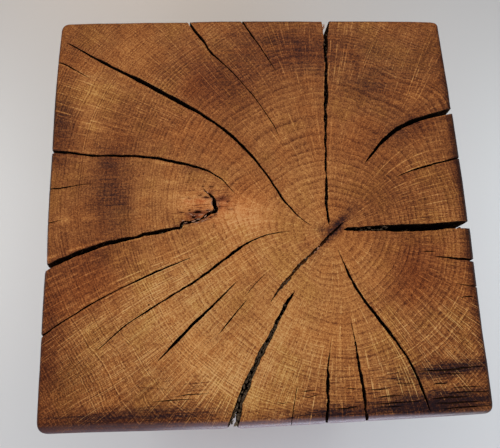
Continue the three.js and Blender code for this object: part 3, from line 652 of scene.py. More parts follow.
def add_crack(spec, seed, top=True, twisted=True, lips=LIPS, step=1.3, sway_size=1.0, darkest=99.0):
    """Cuts a crack's mouth in the skin and adds its walls and floor."""
    line, open_end, levels, rough = spec
    line = [list(map(float, p)) for p in line]
    levels = [list(map(float, row)) for row in levels]
    if open_end == "start":
        line = line[::-1]
        levels = [[z, f, 1 - b, 1 - a] for z, f, a, b in levels]
    is_open = bool(open_end)
    fine = smooth_line(extend(line, "end" if is_open else None), step)
    s = lengths(fine)
    n, total = len(fine), s[-1]
    width = np.maximum(fine[:, 2], 0.05) * np.clip(s / 2.2 + 0.10, 0, 1) * (0.90 if fine[:, 2].max() < 4 else 1.0)
    if not is_open:
        width = width * np.clip((total - s) / 2.2 + 0.10, 0, 1)
    rings, through = crack_rings(levels, top, lips)
    ids, drop, mouth = [], None, None
    edge_points, edge_ids = {1: [], -1: []}, {1: [], -1: []}
    for depth, z, factor, start, stop, lip in rings:
        at = (start + (stop - start) * s / total) * total
        centre = np.stack([np.interp(at, s, fine[:, k]) for k in (0, 1)], 1)
        t = np.gradient(centre, axis=0)
        t /= np.linalg.norm(t, axis=1)[:, None]
        nrm = np.stack([-t[:, 1], t[:, 0]], 1)
        here = width * factor
        small = np.clip(here / 1.2, 0.12, 1)
        sway = sway_size * (0.10 + 0.012 * min(depth, 60)) * noise(s / 11.0, z / 38.0, seed=seed) * np.clip(here, 0.15, 2) / 2
        sides = {}
        for sign, salt in ((1, 11), (-1, 23)):
            ragged = rough * small * (1.6 * noise(s / 4.1, z / 30.0, seed=seed + salt)
                                      + 1.6 * noise(s / 1.5, z / 24.0, seed=seed + salt + 1))
            broad = 0.16 * here * noise(s / 9.0, z / 60.0, seed=seed + salt + 2)
            half = np.maximum(here / 2 + broad + ragged, 0.03) + lip * small
            side = unfolded_sides(centre, nrm, half, sway, sign)
            sides[sign] = wind(side, z) if twisted else side
        ends = {}
        if is_open:
            outline = shell.inner if top and depth == 0 else shell.level(z)
            for sign, side in sides.items():
                i, point, j = shell.leave(side, outline)
                side = np.vstack([side[:i + 1], point])
                if np.linalg.norm(side[-1] - side[-2]) < 0.05:
                    side = np.delete(side, -2, 0)
                d = lengths(side)
                even = np.linspace(0, d[-1], n)
                sides[sign] = np.stack([np.interp(even, d, side[:, k]) for k in (0, 1)], 1)
                sides[sign][-1] = point
                ends[sign] = shell.unfold(np.array([j]), np.array([shell.down(z)]))[0]
        ring = np.vstack([sides[-1], sides[1][::-1]])
        if depth == 0 and top:
            mouth, height = shell.settle(ring)
            drop = HEIGHT - height
            if is_open:
                height[n - 1] = height[n] = HEIGHT
                drop[n - 1] = drop[n] = 0
                mouth[n - 1], mouth[n] = ring[n - 1], ring[n]
        elif depth == 0:
            mouth, height, drop = ring, np.zeros(len(ring)), np.zeros(len(ring))
        else:
            height = z - (drop * np.clip(1 - depth / 40, 0, 1) if top and not is_open else 0.0) * np.ones(len(ring))
            if top and is_open:
                height = z - np.clip(drop, -0.2, 0.2) * (1 if depth < 1 else 0)
                height[n - 1] = height[n] = z
        under = np.full(2 * n, min(float(depth), darkest))
        if depth == 0:                                 # dirt and oil drawn in along the mouth
            dirty = np.clip(0.5 + 1.2 * noise(s / 7.0, seed=seed + 77), 0, 1) * np.clip(width / 1.5, 0.2, 1)
            under = 0.02 + 0.08 * np.r_[dirty, dirty[::-1]]
        if is_open:
            under[[n - 1, n]] = 0
        ids.append(mesh_parts.put(np.c_[ring, height], under))
        for sign, k in ((-1, n - 1), (1, n)):
            if is_open:
                edge_points[sign].append(ends[sign])
                edge_ids[sign].append(ids[-1][k])
    m = 2 * n
    gap = n - 1 if is_open else -1
    for above, below in zip(ids, ids[1:]):
        for i in range(m):
            if i == gap:
                continue
            a, b = i, (i + 1) % m
            quad = [above[a], above[b], below[b], below[a]]
            mesh_parts.walls.append(quad if top else quad[::-1])
    if not through:
        floor = ids[-1]
        for i in range(n - 1):
            quad = [floor[i], floor[i + 1], floor[m - 2 - i], floor[m - 1 - i]]
            mesh_parts.walls.append(quad if top else quad[::-1])
    sheet = top_sheet if top else foot_sheet
    if not is_open:
        sheet.chain(mouth, ids[0], closed=True)
        sheet.holes.append(mouth)
        return
    # an open crack: the mouth goes on down the skirt
    right_edge, left_edge = np.array(edge_points[-1]), np.array(edge_points[1])
    right_ids, left_ids = edge_ids[-1], edge_ids[1]
    if top:
        plane = [mouth[:n], right_edge[1:], left_edge[1:][::-1], mouth[n:]]
        names = [ids[0][:n], right_ids[1:], left_ids[1:][::-1], ids[0][n:]]
        if through:
            far = np.vstack([right_edge[-1], left_edge[-1]])
            out = far + (far - np.vstack([right_edge[-2], left_edge[-2]])) * 8
            hole = np.vstack([mouth[:n], right_edge[1:], out, left_edge[1:][::-1], mouth[n:]])
            top_sheet.chain(np.vstack([left_edge[::-1][:-1], mouth[n:], mouth[:n], right_edge[1:]]),
                            np.concatenate([left_ids[::-1][:-1], ids[0][n:], ids[0][:n], right_ids[1:]]))
            top_sheet.holes.append(hole)
            skirt_ends.extend([(right_edge[-1], right_ids[-1]), (left_edge[-1], left_ids[-1])])
            last = ids[-1]
            xy = np.vstack(mesh_parts.verts)[last][:, :2]
            foot_sheet.chain(np.vstack([xy[n:], xy[:n]]), np.concatenate([last[n:], last[:n]]))
            beyond = xy[[n - 1, n]] + (xy[[n - 1, n]] - xy[[n - 2, n + 1]]) * 6
            foot_sheet.holes.append(np.vstack([xy[:n], beyond, xy[n:]]))
        else:
            top_sheet.chain(np.vstack(plane), np.concatenate(names), closed=True)
            top_sheet.holes.append(np.vstack(plane))
    else:
        foot_sheet.chain(np.vstack([mouth[n:], mouth[:n]]), np.concatenate([ids[0][n:], ids[0][:n]]))
        beyond = mouth[[n - 1, n]] + (mouth[[n - 1, n]] - mouth[[n - 2, n + 1]]) * 6
        foot_sheet.holes.append(np.vstack([mouth[:n], beyond, mouth[n:]]))
        loop = np.vstack([right_edge, left_edge[::-1]])
        names = right_ids + left_ids[::-1]
        top_sheet.chain(loop, np.array(names))
        out = np.vstack([left_edge[0] + (left_edge[0] - left_edge[1]) * 8, right_edge[0] + (right_edge[0] - right_edge[1]) * 8])
        top_sheet.holes.append(np.vstack([loop, out]))
        skirt_ends.extend([(right_edge[0], right_ids[0]), (left_edge[0], left_ids[0])])


skirt_ends = []                # points where an open mouth meets the edge of the underside


def add_pit(x, y, a, b, turn, depth, seed):
    """A small hollow with a ragged edge."""
    count = int(np.clip((a + b) * 9, 10, 26))
    phase = np.arange(count) * 2 * math.pi / count
    ring = 1 + 0.30 * noise(phase * 1.4 + seed % 7, seed=seed) + 0.12 * noise(phase * 4 + 3, seed=seed + 1)
    ring[-1] = (ring[-2] + ring[0]) / 2
    c, s = math.cos(math.radians(turn)), math.sin(math.radians(turn))
    ids = []
    for scale, sink in ((1.0, 0.0), (0.88, 0.14), (0.72, 0.45), (0.50, 0.8)):
        u, v = np.cos(phase) * a * scale * ring, np.sin(phase) * b * scale * ring
        xy = np.stack([x + u * c - v * s, y + u * s + v * c], 1)
        place, z = shell.settle(xy)
        if sink == 0:
            mouth = place
            if not top_sheet.keep(mouth, gap=0.12).all():
                return False
        ids.append(mesh_parts.put(np.c_[xy, z - depth * sink * (1 + 0.15 * noise(phase * 2, seed=seed + 2))], 0.10 + 0.15 * depth * sink))
    tip = mesh_parts.put([[x, y, HEIGHT - depth]], 0.10 + 0.15 * depth)[0]
    for above, below in zip(ids, ids[1:]):
        for i in range(count):
            j = (i + 1) % count
            mesh_parts.walls.append([above[i], above[j], below[j], below[i]])
    for i in range(count):
        mesh_parts.walls.append([ids[-1][i], ids[-1][(i + 1) % count], tip])
    top_sheet.chain(mouth, ids[0], closed=True)
    top_sheet.holes.append(mouth)
    return True


T = (1 + 5 ** 0.5) / 2
ICO_V = np.array([[-1, T, 0], [1, T, 0], [-1, -T, 0], [1, -T, 0], [0, -1, T], [0, 1, T], [0, -1, -T], [0, 1, -T],
                  [T, 0, -1], [T, 0, 1], [-T, 0, -1], [-T, 0, 1]]) / math.hypot(1, T)
ICO_F = [[0, 11, 5], [0, 5, 1], [0, 1, 7], [0, 7, 10], [0, 10, 11], [1, 5, 9], [5, 11, 4], [11, 10, 2], [10, 7, 6],
         [7, 1, 8], [3, 9, 4], [3, 4, 2], [3, 2, 6], [3, 6, 8], [3, 8, 9], [4, 9, 5], [2, 4, 11], [6, 2, 10],
         [8, 6, 7], [9, 8, 1]]


def ball(level):
    """A unit sphere of small triangles."""
    verts, faces = [tuple(v) for v in ICO_V], ICO_F
    for _ in range(level):
        mid, out = {}, []

        def between(a, b):
            key = (min(a, b), max(a, b))
            if key not in mid:
                v = np.array(verts[a]) + np.array(verts[b])
                verts.append(tuple(v / np.linalg.norm(v)))
                mid[key] = len(verts) - 1
            return mid[key]
        for a, b, c in faces:
            ab, bc, ca = between(a, b), between(b, c), between(c, a)
            out += [[a, ab, ca], [b, bc, ab], [c, ca, bc], [ab, bc, ca]]
        faces = out
    return np.array(verts), faces


BALLS = [ball(0), ball(1), ball(2)]


def lump(centre, radii, turn, seed, level=1, rough=0.25, tilt=0.0, bend=0.0):
    """A rough ellipsoid: radii along its length, width and thickness, turned in plan by an angle."""
    v, f = BALLS[level]
    grow = 1 + rough * noise(v[:, 0] * 1.7 + seed, v[:, 1] * 1.7, v[:, 2] * 1.7, seed=seed)
    p = v * grow[:, None] * np.array(radii)
    p[:, 2] += bend * (p[:, 0] / radii[0]) ** 2 * radii[0]
    ct, st = math.cos(tilt), math.sin(tilt)
    p = np.stack([p[:, 0] * ct - p[:, 2] * st, p[:, 1], p[:, 0] * st + p[:, 2] * ct], 1)
    c, s = math.cos(turn), math.sin(turn)
    p = np.stack([p[:, 0] * c - p[:, 1] * s, p[:, 0] * s + p[:, 1] * c, p[:, 2]], 1)
    return p + np.array(centre), f


# Pits round the knot and elsewhere: x, y, half length, half width, turn in degrees, depth.
PITS = [
    (-44.9, -5.6, 2.88, 0.84, 2, 2.6), (-41.4, -6.4, 1.29, 0.60, -25, 2.0), (-47.9, -9.2, 1.69, 0.94, -8, 2.6),
    (-38.7, 5.2, 2.18, 0.45, -4, 1.2), (-43.1, 6.6, 1.69, 0.60, 8, 0.8), (-51.3, 4.7, 1.09, 0.55, -30, 0.6),
    (-50.8, -4.3, 1.09, 0.45, 15, 0.8), (-56.3, -5.6, 2.28, 0.30, -4, 0.6), (-35.2, 12.9, 1.69, 0.40, 0, 0.9),
    (-41.0, 13.2, 0.40, 1.19, 0, 0.8), (-37.9, -4.9, 1.29, 0.40, -5, 1.2), (-27.8, 4.0, 1.29, 0.60, -5, 0.7),
    (-23.8, 6.1, 0.70, 0.50, 0, 0.6), (-23.5, 1.5, 1.29, 0.35, 50, 0.5), (-25.8, -2.1, 2.98, 0.20, -3, 0.5),
    (-18.3, -1.6, 1.69, 0.25, 4, 0.5), (-21.8, -4.3, 3.48, 0.20, 2, 0.4), (-50.6, 23.0, 0.79, 1.19, 0, 0.6),
    (-39.7, 17.1, 0.79, 0.70, 0, 0.5), (-35.7, -9.7, 1.99, 0.40, 12, 0.8), (-32.7, -7.9, 1.29, 0.50, 20, 0.8),
    (-44.6, -12.2, 1.49, 0.40, -10, 0.9), (-29.7, -1.9, 0.35, 1.29, 0, 0.9), (-33.9, -16.4, 0.25, 1.59, 8, 0.5),
    (-44.1, -26.5, 0.30, 2.48, 6, 0.6), (-27.7, -19.6, 0.30, 2.18, -18, 0.6), (-25.3, -24.5, 0.40, 1.49, -18, 0.6),
    (-35.2, -20.6, 0.30, 1.29, -8, 0.5), (-32.7, -25.5, 0.40, 0.70, 0, 0.5), (-52.5, -26.5, 0.30, 1.09, -14, 0.5),
    (-53.6, -22.6, 0.25, 1.19, -14, 0.4),
    (-78.5, -69.7, 0.55, 0.5, 0, 2.0), (-13.6, -52.9, 0.4, 0.35, 0, 1.2), (120.5, 20.4, 0.4, 0.3, 0, 1.0),
]


# Pale torn fibres curling up beside the knot's crack and pits: x, y, half sizes, turn in degrees.
SLIVERS = [
    (-48.0, -12.3, 1.9, 0.40, 20), (-44.5, -10.8, 1.7, 0.38, 8), (-39.6, -8.8, 1.6, 0.35, 40), (-53.5, -13.2, 1.4, 0.35, 12),
    (-35.1, 0.8, 0.45, 2.58, 4), (-34.8, 3.5, 0.40, 1.29, 10), (-49.5, -7.4, 2.58, 0.40, -32), (-43.1, -7.8, 2.18, 0.45, 12),
    (-45.9, -13.4, 2.58, 0.40, 4), (-41.4, -12.2, 1.69, 0.35, 22), (-37.9, 8.7, 0.45, 1.29, 38), (-40.2, 9.5, 0.40, 0.99, 35),
    (-55.1, -11.6, 1.69, 0.35, 20), (-39.2, -11.2, 1.69, 0.40, 24), (-30.7, -0.2, 0.35, 1.69, -2), (-37.9, -4.2, 1.69, 0.30, -10),
    (-47.1, -8.2, 0.79, 0.30, 20), (-36.7, -5.4, 0.99, 0.30, 20), (-31.2, -6.4, 0.99, 0.30, 35),
]


def flakes(rng):
    """Dark flakes and crumbs in the open cracks, pale splinters and curled fibres beside them.

    Gives (verts, faces, pale) for each."""
    out = []

    def along_crack(spec, count, fractions, depths, sizes, pale, across=0.42, thick=0.3):
        line = smooth_line(extend(spec[0], spec[1]), 1.0)
        s = lengths(line)
        for _ in range(count):
            u = rng.uniform(*fractions)
            at = u * s[-1]
            x, y, w = (np.interp(at, s, line[:, k]) for k in range(3))
            x2, y2 = (np.interp(at + 1, s, line[:, k]) for k in range(2))
            turn = math.atan2(y2 - y, x2 - x) + rng.normal(0, 0.35)
            depth = rng.uniform(*depths)
            side = rng.choice([-1, 1]) * across * w * rng.uniform(0.4, 1.1)
            nx, ny = -(y2 - y), (x2 - x)
            size = rng.uniform(*sizes) * min(1.0, 0.35 + w / 4)
            px, py = wind([[x + nx * side, y + ny * side]], HEIGHT - depth)[0]
            out.append((*lump((px, py, HEIGHT - depth),
                              (size, size * rng.uniform(0.35, 0.6), size * rng.uniform(thick, thick * 2)),
                              turn, int(rng.integers(1e6)), level=1 if size > 0.75 else 0, rough=0.45,
                              tilt=rng.normal(0, 0.5), bend=rng.normal(0, 0.25)), pale))
    along_crack(TOP_CRACKS["front_wide"], 150, (0.22, 0.86), (1.6, 5.5), (0.8, 2.0), 0.35)
    along_crack(TOP_CRACKS["front_wide"], 60, (0.10, 0.60), (0.9, 3.4), (0.5, 1.3), 0.30)
    along_crack(TOP_CRACKS["front_wide"], 60, (0.50, 0.855), (0.9, 3.2), (0.4, 1.1), 0.55)
    along_crack(TOP_CRACKS["right_wide"], 26, (0.0, 0.30), (0.8, 4.0), (0.5, 1.3), 0.25)
    along_crack(TOP_CRACKS["right_wide"], 16, (0.25, 0.9), (6.0, 16.0), (0.7, 1.6), 0.1)
    along_crack(TOP_CRACKS["back_straight"], 54, (0.05, 0.62), (0.6, 2.6), (0.35, 0.95), 0.15, across=0.3)
    along_crack(TOP_CRACKS["back_straight"], 24, (0.62, 0.97), (0.8, 4.5), (0.5, 1.3), 0.3)
    along_crack(TOP_CRACKS["back_straight"], 7, (0.86, 0.95), (0.6, 2.5), (0.7, 1.5), 0.9, thick=0.15)
    along_crack(HEART_SHAKE, 30, (0.04, 0.55), (0.9, 2.6), (0.35, 0.95), 0.15, across=0.35)
    along_crack(HEART_SHAKE, 60, (0.45, 0.96), (0.5, 2.4), (0.5, 1.3), 0.42, across=0.4, thick=0.2)
    along_crack(HEART_SHAKE, 9, (0.30, 0.55), (0.1, 0.8), (0.6, 1.3), 0.95, across=0.45, thick=0.15)
    along_crack(TOP_CRACKS["front_right"], 14, (0.1, 0.9), (1.5, 4.0), (0.4, 0.9), 0.05, across=0.3)
    along_crack(TOP_CRACKS["right_curved"], 10, (0.3, 0.95), (3.0, 9.0), (0.5, 1.2), 0.05)
    along_crack(TOP_CRACKS["left_knot"], 20, (0.05, 0.62), (2.0, 6.0), (0.4, 1.0), 0.05, across=0.35)
    along_crack(TOP_CRACKS["left_knot"], 26, (0.60, 0.97), (0.2, 2.0), (0.4, 1.0), 0.4, across=0.5, thick=0.2)
    for k, (x, y, a, b, turn) in enumerate(SLIVERS):
        out.append((*lump((x, y, HEIGHT - 0.10), (max(a, b) * 0.8, min(a, b), 0.38), math.radians(turn + (90 if b > a else 0)),
                          3000 + k, level=1, rough=0.5, tilt=rng.normal(0, 0.10)), 0.95))
    along_crack(TOP_CRACKS["front_left_long"], 10, (0.3, 0.85), (0.8, 2.5), (0.3, 0.7), 0.1, across=0.3)
    return out


for k, (name, spec) in enumerate(TOP_CRACKS.items()):
    at_knot = name == "left_knot"
    add_crack(spec, 100 + 40 * k, step=0.95 if at_knot else 1.35, darkest=0.42 if at_knot else 99.0)
add_crack(HEART_SHAKE, 1200, lips=SHAKE_LIPS, darkest=0.30)
for k, spec in enumerate(FOOT_CRACKS.values()):
    add_crack(spec, 900 + 40 * k, top=False, twisted=False)
HAIR_LIPS = [(0.0, 0.10), (0.12, 0.03), (0.6, 0.0), (2.0, 0.0), (4.0, 0.0)]
for k, (line, open_end, depth) in enumerate(HAIRLINES):
    ends = {"start": (0.0, 0.8), "end": (0.2, 1.0), "": (0.15, 0.85)}[open_end]
    add_crack((line, open_end or None, [[HEIGHT - depth, 0.25, *ends]], 0.10), 1300 + 7 * k, lips=HAIR_LIPS, step=1.4)
for k, (x0, x1, y, w) in enumerate(TEARS):
    t = np.linspace(0, 1, 7)
    drift = 0.6 * noise(t * 2.5, seed=1500 + k)
    line = [[x0 + (x1 - x0) * a, y + b + 0.02 * (x1 - x0) * a, max(w * (0.25 + 0.9 * math.sin(math.pi * a)) * 1.12, 0.12)]
            for a, b in zip(t, drift)]
    add_crack((line, None, [[HEIGHT - 1.5, 0.3, 0.08, 0.92]], 0.12), 1600 + 5 * k, twisted=False,
              lips=[(0.0, 0.05), (0.4, 0.0)], step=1.3, sway_size=0.4)
pits_left_out = [row[:2] for k, row in enumerate(PITS) if not add_pit(*row, 2000 + 3 * k)]

# loose points of the top and the skirt, then of the underside
grid = fill(shell.inner)[1:-1, 1:-1].reshape(-1, 2)
in_knot = lambda q: np.hypot((q[:, 0] + 45) / 20, (q[:, 1] - 1) / 16) < 1
grid = grid[~in_knot(grid)]
tight = np.stack(np.meshgrid(np.arange(-66, -24, 1.5), np.arange(-16, 18, 1.5)), -1).reshape(-1, 2)
tight = tight + 0.3 * np.stack([noise(*tight.T / 1.3, seed=71), noise(*tight.T / 1.3, seed=72)], 1)
in_heart = lambda q: np.hypot(q[:, 0] - 47, q[:, 1] + 24) < 19
grid = grid[~in_heart(grid)]
close = np.stack(np.meshgrid(np.arange(28, 68, 2.0), np.arange(-44, -4, 2.0)), -1).reshape(-1, 2)
close = close + 0.4 * np.stack([noise(*close.T / 1.7, seed=73), noise(*close.T / 1.7, seed=74)], 1)
grid = np.vstack([grid[top_sheet.keep(grid)], tight[in_knot(tight) & top_sheet.keep(tight, gap=0.6)],
                  close[in_heart(close) & top_sheet.keep(close, gap=0.6)]])
top_sheet.put(grid, mesh_parts.put(np.c_[grid, HEIGHT + relief(grid[:, 0], grid[:, 1])]))
rows = [HEIGHT - TOP_ROUND * (1 - math.cos(math.pi / 2 * i / 8)) for i in range(9)]
rows += list(np.linspace(HEIGHT - TOP_ROUND, FOOT_ROUND, 28)[1:-1])
rows += [FOOT_ROUND * (1 - math.sin(math.pi / 2 * i / 4)) for i in range(5)]
every = np.arange(shell.n)
for z in rows[:-1]:
    place = shell.unfold(every, np.full(shell.n, shell.down(z)))
    good = top_sheet.keep(place)
    outline = shell.inner if z == HEIGHT else shell.level(z)
    top_sheet.put(place[good], mesh_parts.put(np.c_[outline[good], np.full(good.sum(), z)]))
# the edge shared by the skirt and the underside
outline = shell.level(0.0)
place = shell.unfold(every, np.full(shell.n, SKIRT))
good = top_sheet.keep(place, gap=0.4)
shared = mesh_parts.put(np.c_[outline[good], np.zeros(good.sum())])
around = [(math.atan2(*p[::-1]), p, i) for p, i in zip(place[good], shared)] + [(math.atan2(*p[::-1]), p, i) for p, i in skirt_ends]
around.sort(key=lambda row: row[0])
top_sheet.bound(np.array([row[1] for row in around]), np.array([row[2] for row in around]))
all_verts = np.vstack(mesh_parts.verts)
edge_xy = np.array([all_verts[row[2], :2] for row in around])
foot_sheet.bound(edge_xy, np.array([row[2] for row in around]))
grid = fill(outline)[2:-2:2, 2:-2:2].reshape(-1, 2)
grid = grid[foot_sheet.keep(grid, gap=1.0)]
foot_sheet.put(grid, mesh_parts.put(np.c_[grid, np.zeros(len(grid))]))


skin = top_sheet.triangles()
under_skin = foot_sheet.triangles()[:, ::-1]

for verts, faces, pale in flakes(np.random.default_rng(11)):
    if not within(verts[:, :2], shell.level(verts[:, 2].mean()) * 0.995).all():
        continue                                               # it would stick out of a side
    ids = mesh_parts.put(verts, 6.0, pale)
    mesh_parts.walls += [[int(ids[i]) for i in f] for f in faces]


def make_object(name, verts, faces, scale=0.001):
    mesh = bpy.data.meshes.new(name)
    mesh.from_pydata((np.asarray(verts) * scale).tolist(), [], faces)
    mesh.validate()
    obj = bpy.data.objects.new(name, mesh)
    bpy.context.scene.collection.objects.link(obj)
    return obj


skin_faces = skin.tolist() + under_skin.tolist()
block = make_object("oak_block", np.vstack(mesh_parts.verts), skin_faces + [[int(i) for i in f] for f in mesh_parts.walls])

# ---- where the grain runs -----------------------------------------------------------

# Lines that the rays follow, outwards from the pith: the cracks themselves, and
# others that follow the grain between them.
GUIDES = [spec[0][::-1] for name, spec in TOP_CRACKS.items()
          if name in ("upper_left", "left_high", "left_low", "front_left_long", "front_left_short",
                      "back_left", "back_left_thin")]
GUIDES += [spec[0] for name, spec in TOP_CRACKS.items()
           if name in ("front_wide", "front_mid", "front_straight", "front_right", "right_wide",
                       "right_curved", "right_thin", "back_straight", "right_low")]
GUIDES += [
    HEART_SHAKE[0],
    [(-36, -5), (-46, -13), (-57.5, -17), (-69.2, -18.7), (-83, -21.6), (-108.4, -26.8), (-134.9, -36.3), (-153, -44)],
    [(30, -16), (0, -6), (-35, 2), (-70, 4), (-110, 5), (-155, 4)],
    [(60, 0), (90, 70), (125, 150)], [(62, -8), (110, 55), (152, 105)], [(70, -14), (110, 0), (152, 10)],
    [(68, -32), (110, -55), (152, -78)], [(64, -40), (105, -90), (150, -140)], [(46, 20), (30, 90), (20, 150)],
    [(30, 20), (-30, 110), (-60, 150)], [(20, 20), (-30, 70), (-100, 130), (-125, 152)],
    [(20, -45), (-30, -88), (-95, -150)], [(10, -35), (-60, -78), (-150, -130)],
    [(-60, 14), (-100, 18), (-150, 22)], [(-60, -8), (-100, -12), (-150, -20)],
    [(-20, 35), (-60, 58), (-105, 75), (-150, 92)],
]


class Grain:
    """Ring distance and ray angle over the end face, from the guide lines.

    The ring distance grows along every guide and its steepest rise points along
    the guide; the ray angle of a point is the angle at which the steepest descent
    from it comes in to the pith."""
    S = 100.0

    def __init__(self):
        gx = np.linspace(-165, 165, 13)
        self.centres = np.array([(x, y) for x in gx for y in gx])
        points, tangents = [], []
        for guide in GUIDES:
            v = np.array([p[:2] for p in guide], float)
            d = lengths(v)
            n = max(int(d[-1] / 6), 3)
            at = np.linspace(0, d[-1], n + 1)
            q = np.c_[np.interp(at, d, v[:, 0]), np.interp(at, d, v[:, 1])]
            for _ in range(2):
                q[1:-1] = (q[:-2] + 2 * q[1:-1] + q[2:]) / 4
            t = np.gradient(q, axis=0)
            points.append(q)
            tangents.append(t / np.linalg.norm(t, axis=1)[:, None])
        p, t = np.vstack(points), np.vstack(tangents)
        x = p - PITH
        radial = x / np.linalg.norm(x, axis=1)[:, None]
        gx, gy = self.slopes(p)
        nrm = np.c_[-t[:, 1], t[:, 0]]
        ring = np.array([PITH + 8 * np.array([math.cos(a), math.sin(a)])
                         for a in np.linspace(0, 2 * math.pi, 17)[:-1]] + [PITH])
        size = len(self.centres) + 3
        ridge = np.eye(size) * 0.02
        ridge[-3:] *= 0.01
        rows = [6 * (gx * nrm[:, :1] + gy * nrm[:, 1:]), gx * t[:, :1] + gy * t[:, 1:], 3 * self.basis(ring), ridge]
        want = [-6 * (radial * nrm).sum(1), 1 - (radial * t).sum(1), np.zeros(len(ring)), np.zeros(size)]
        self.c = np.linalg.lstsq(np.vstack(rows), np.concatenate(want), rcond=None)[0]
        # tables on a fine grid
        self.step = 2.5
        self.axis = np.arange(-172.5, 172.6, self.step)
        self.m = len(self.axis)
        xx, yy = np.meshgrid(self.axis, self.axis)
        q = np.c_[xx.ravel(), yy.ravel()]
        self.delta = self.plain(q).reshape(self.m, self.m)
        rho = self.delta + np.hypot(xx - PITH[0], yy - PITH[1])
        self.gy, self.gx = np.gradient(rho, self.step)
        self.lean = self.trace(q).reshape(self.m, self.m)

    def basis(self, x):
        d = (x[:, None, :] - self.centres[None]) / self.S
        r2 = (d ** 2).sum(-1)
        return np.hstack([0.5 * r2 * np.log(r2 + 1e-9), x / self.S, np.ones((len(x), 1))])

    def slopes(self, x):
        d = (x[:, None, :] - self.centres[None]) / self.S
        r2 = (d ** 2).sum(-1) + 1e-9
        g = (np.log(r2) + 1) / self.S
        one, none = np.full((len(x), 1), 1 / self.S), np.zeros((len(x), 1))
        return np.hstack([g * d[..., 0], one, none, none]), np.hstack([g * d[..., 1], none, one, none])

    def plain(self, x):
        return np.concatenate([self.basis(x[i:i + 8000]) @ self.c for i in range(0, len(x), 8000)])

    def look(self, table, x):
        f = np.clip((x - self.axis[0]) / self.step, 0, self.m - 1.001)
        i = f.astype(int)
        t = f - i
        a, b = i[:, 0], i[:, 1]
        return ((1 - t[:, 0]) * (1 - t[:, 1]) * table[b, a] + t[:, 0] * (1 - t[:, 1]) * table[b, a + 1]
                + (1 - t[:, 0]) * t[:, 1] * table[b + 1, a] + t[:, 0] * t[:, 1] * table[b + 1, a + 1])

    def trace(self, start):
        """How far the angle of arrival at the pith differs from the straight bearing."""
        x = start.copy()
        for _ in range(260):
            d = x - PITH
            r = np.hypot(d[:, 0], d[:, 1])
            going = r > 7
            if not going.any():
                break
            g = np.stack([self.look(self.gx, x), self.look(self.gy, x)], 1)
            g /= np.linalg.norm(g, axis=1)[:, None] + 1e-9
            # near the pith the descent turns into a straight run to it
            blend = np.clip((r - 7) / 20, 0, 1)[:, None]
            step = blend * g + (1 - blend) * d / (r[:, None] + 1e-9)
            step /= np.linalg.norm(step, axis=1)[:, None] + 1e-9
            x = np.where(going[:, None], x - 1.3 * step, x)
        bearing = np.arctan2(*(start - PITH).T[::-1])
        arrival = np.arctan2(*(x - PITH).T[::-1])
        lean = (arrival - bearing + math.pi) % (2 * math.pi) - math.pi
        near = np.hypot(*(start - PITH).T) < 9
        lean[near] = 0
        return lean

    def at(self, x):
        """Ring distance and ray angle at points in the plane of the top."""
        d = x - PITH
        rho = np.hypot(d[:, 0], d[:, 1]) + self.look(self.delta, x)
        return np.maximum(rho, 0.01), np.arctan2(d[:, 1], d[:, 0]) + self.look(self.lean, x)


grain = Grain()

# ---- colour patches -------------------------------------------------------------------

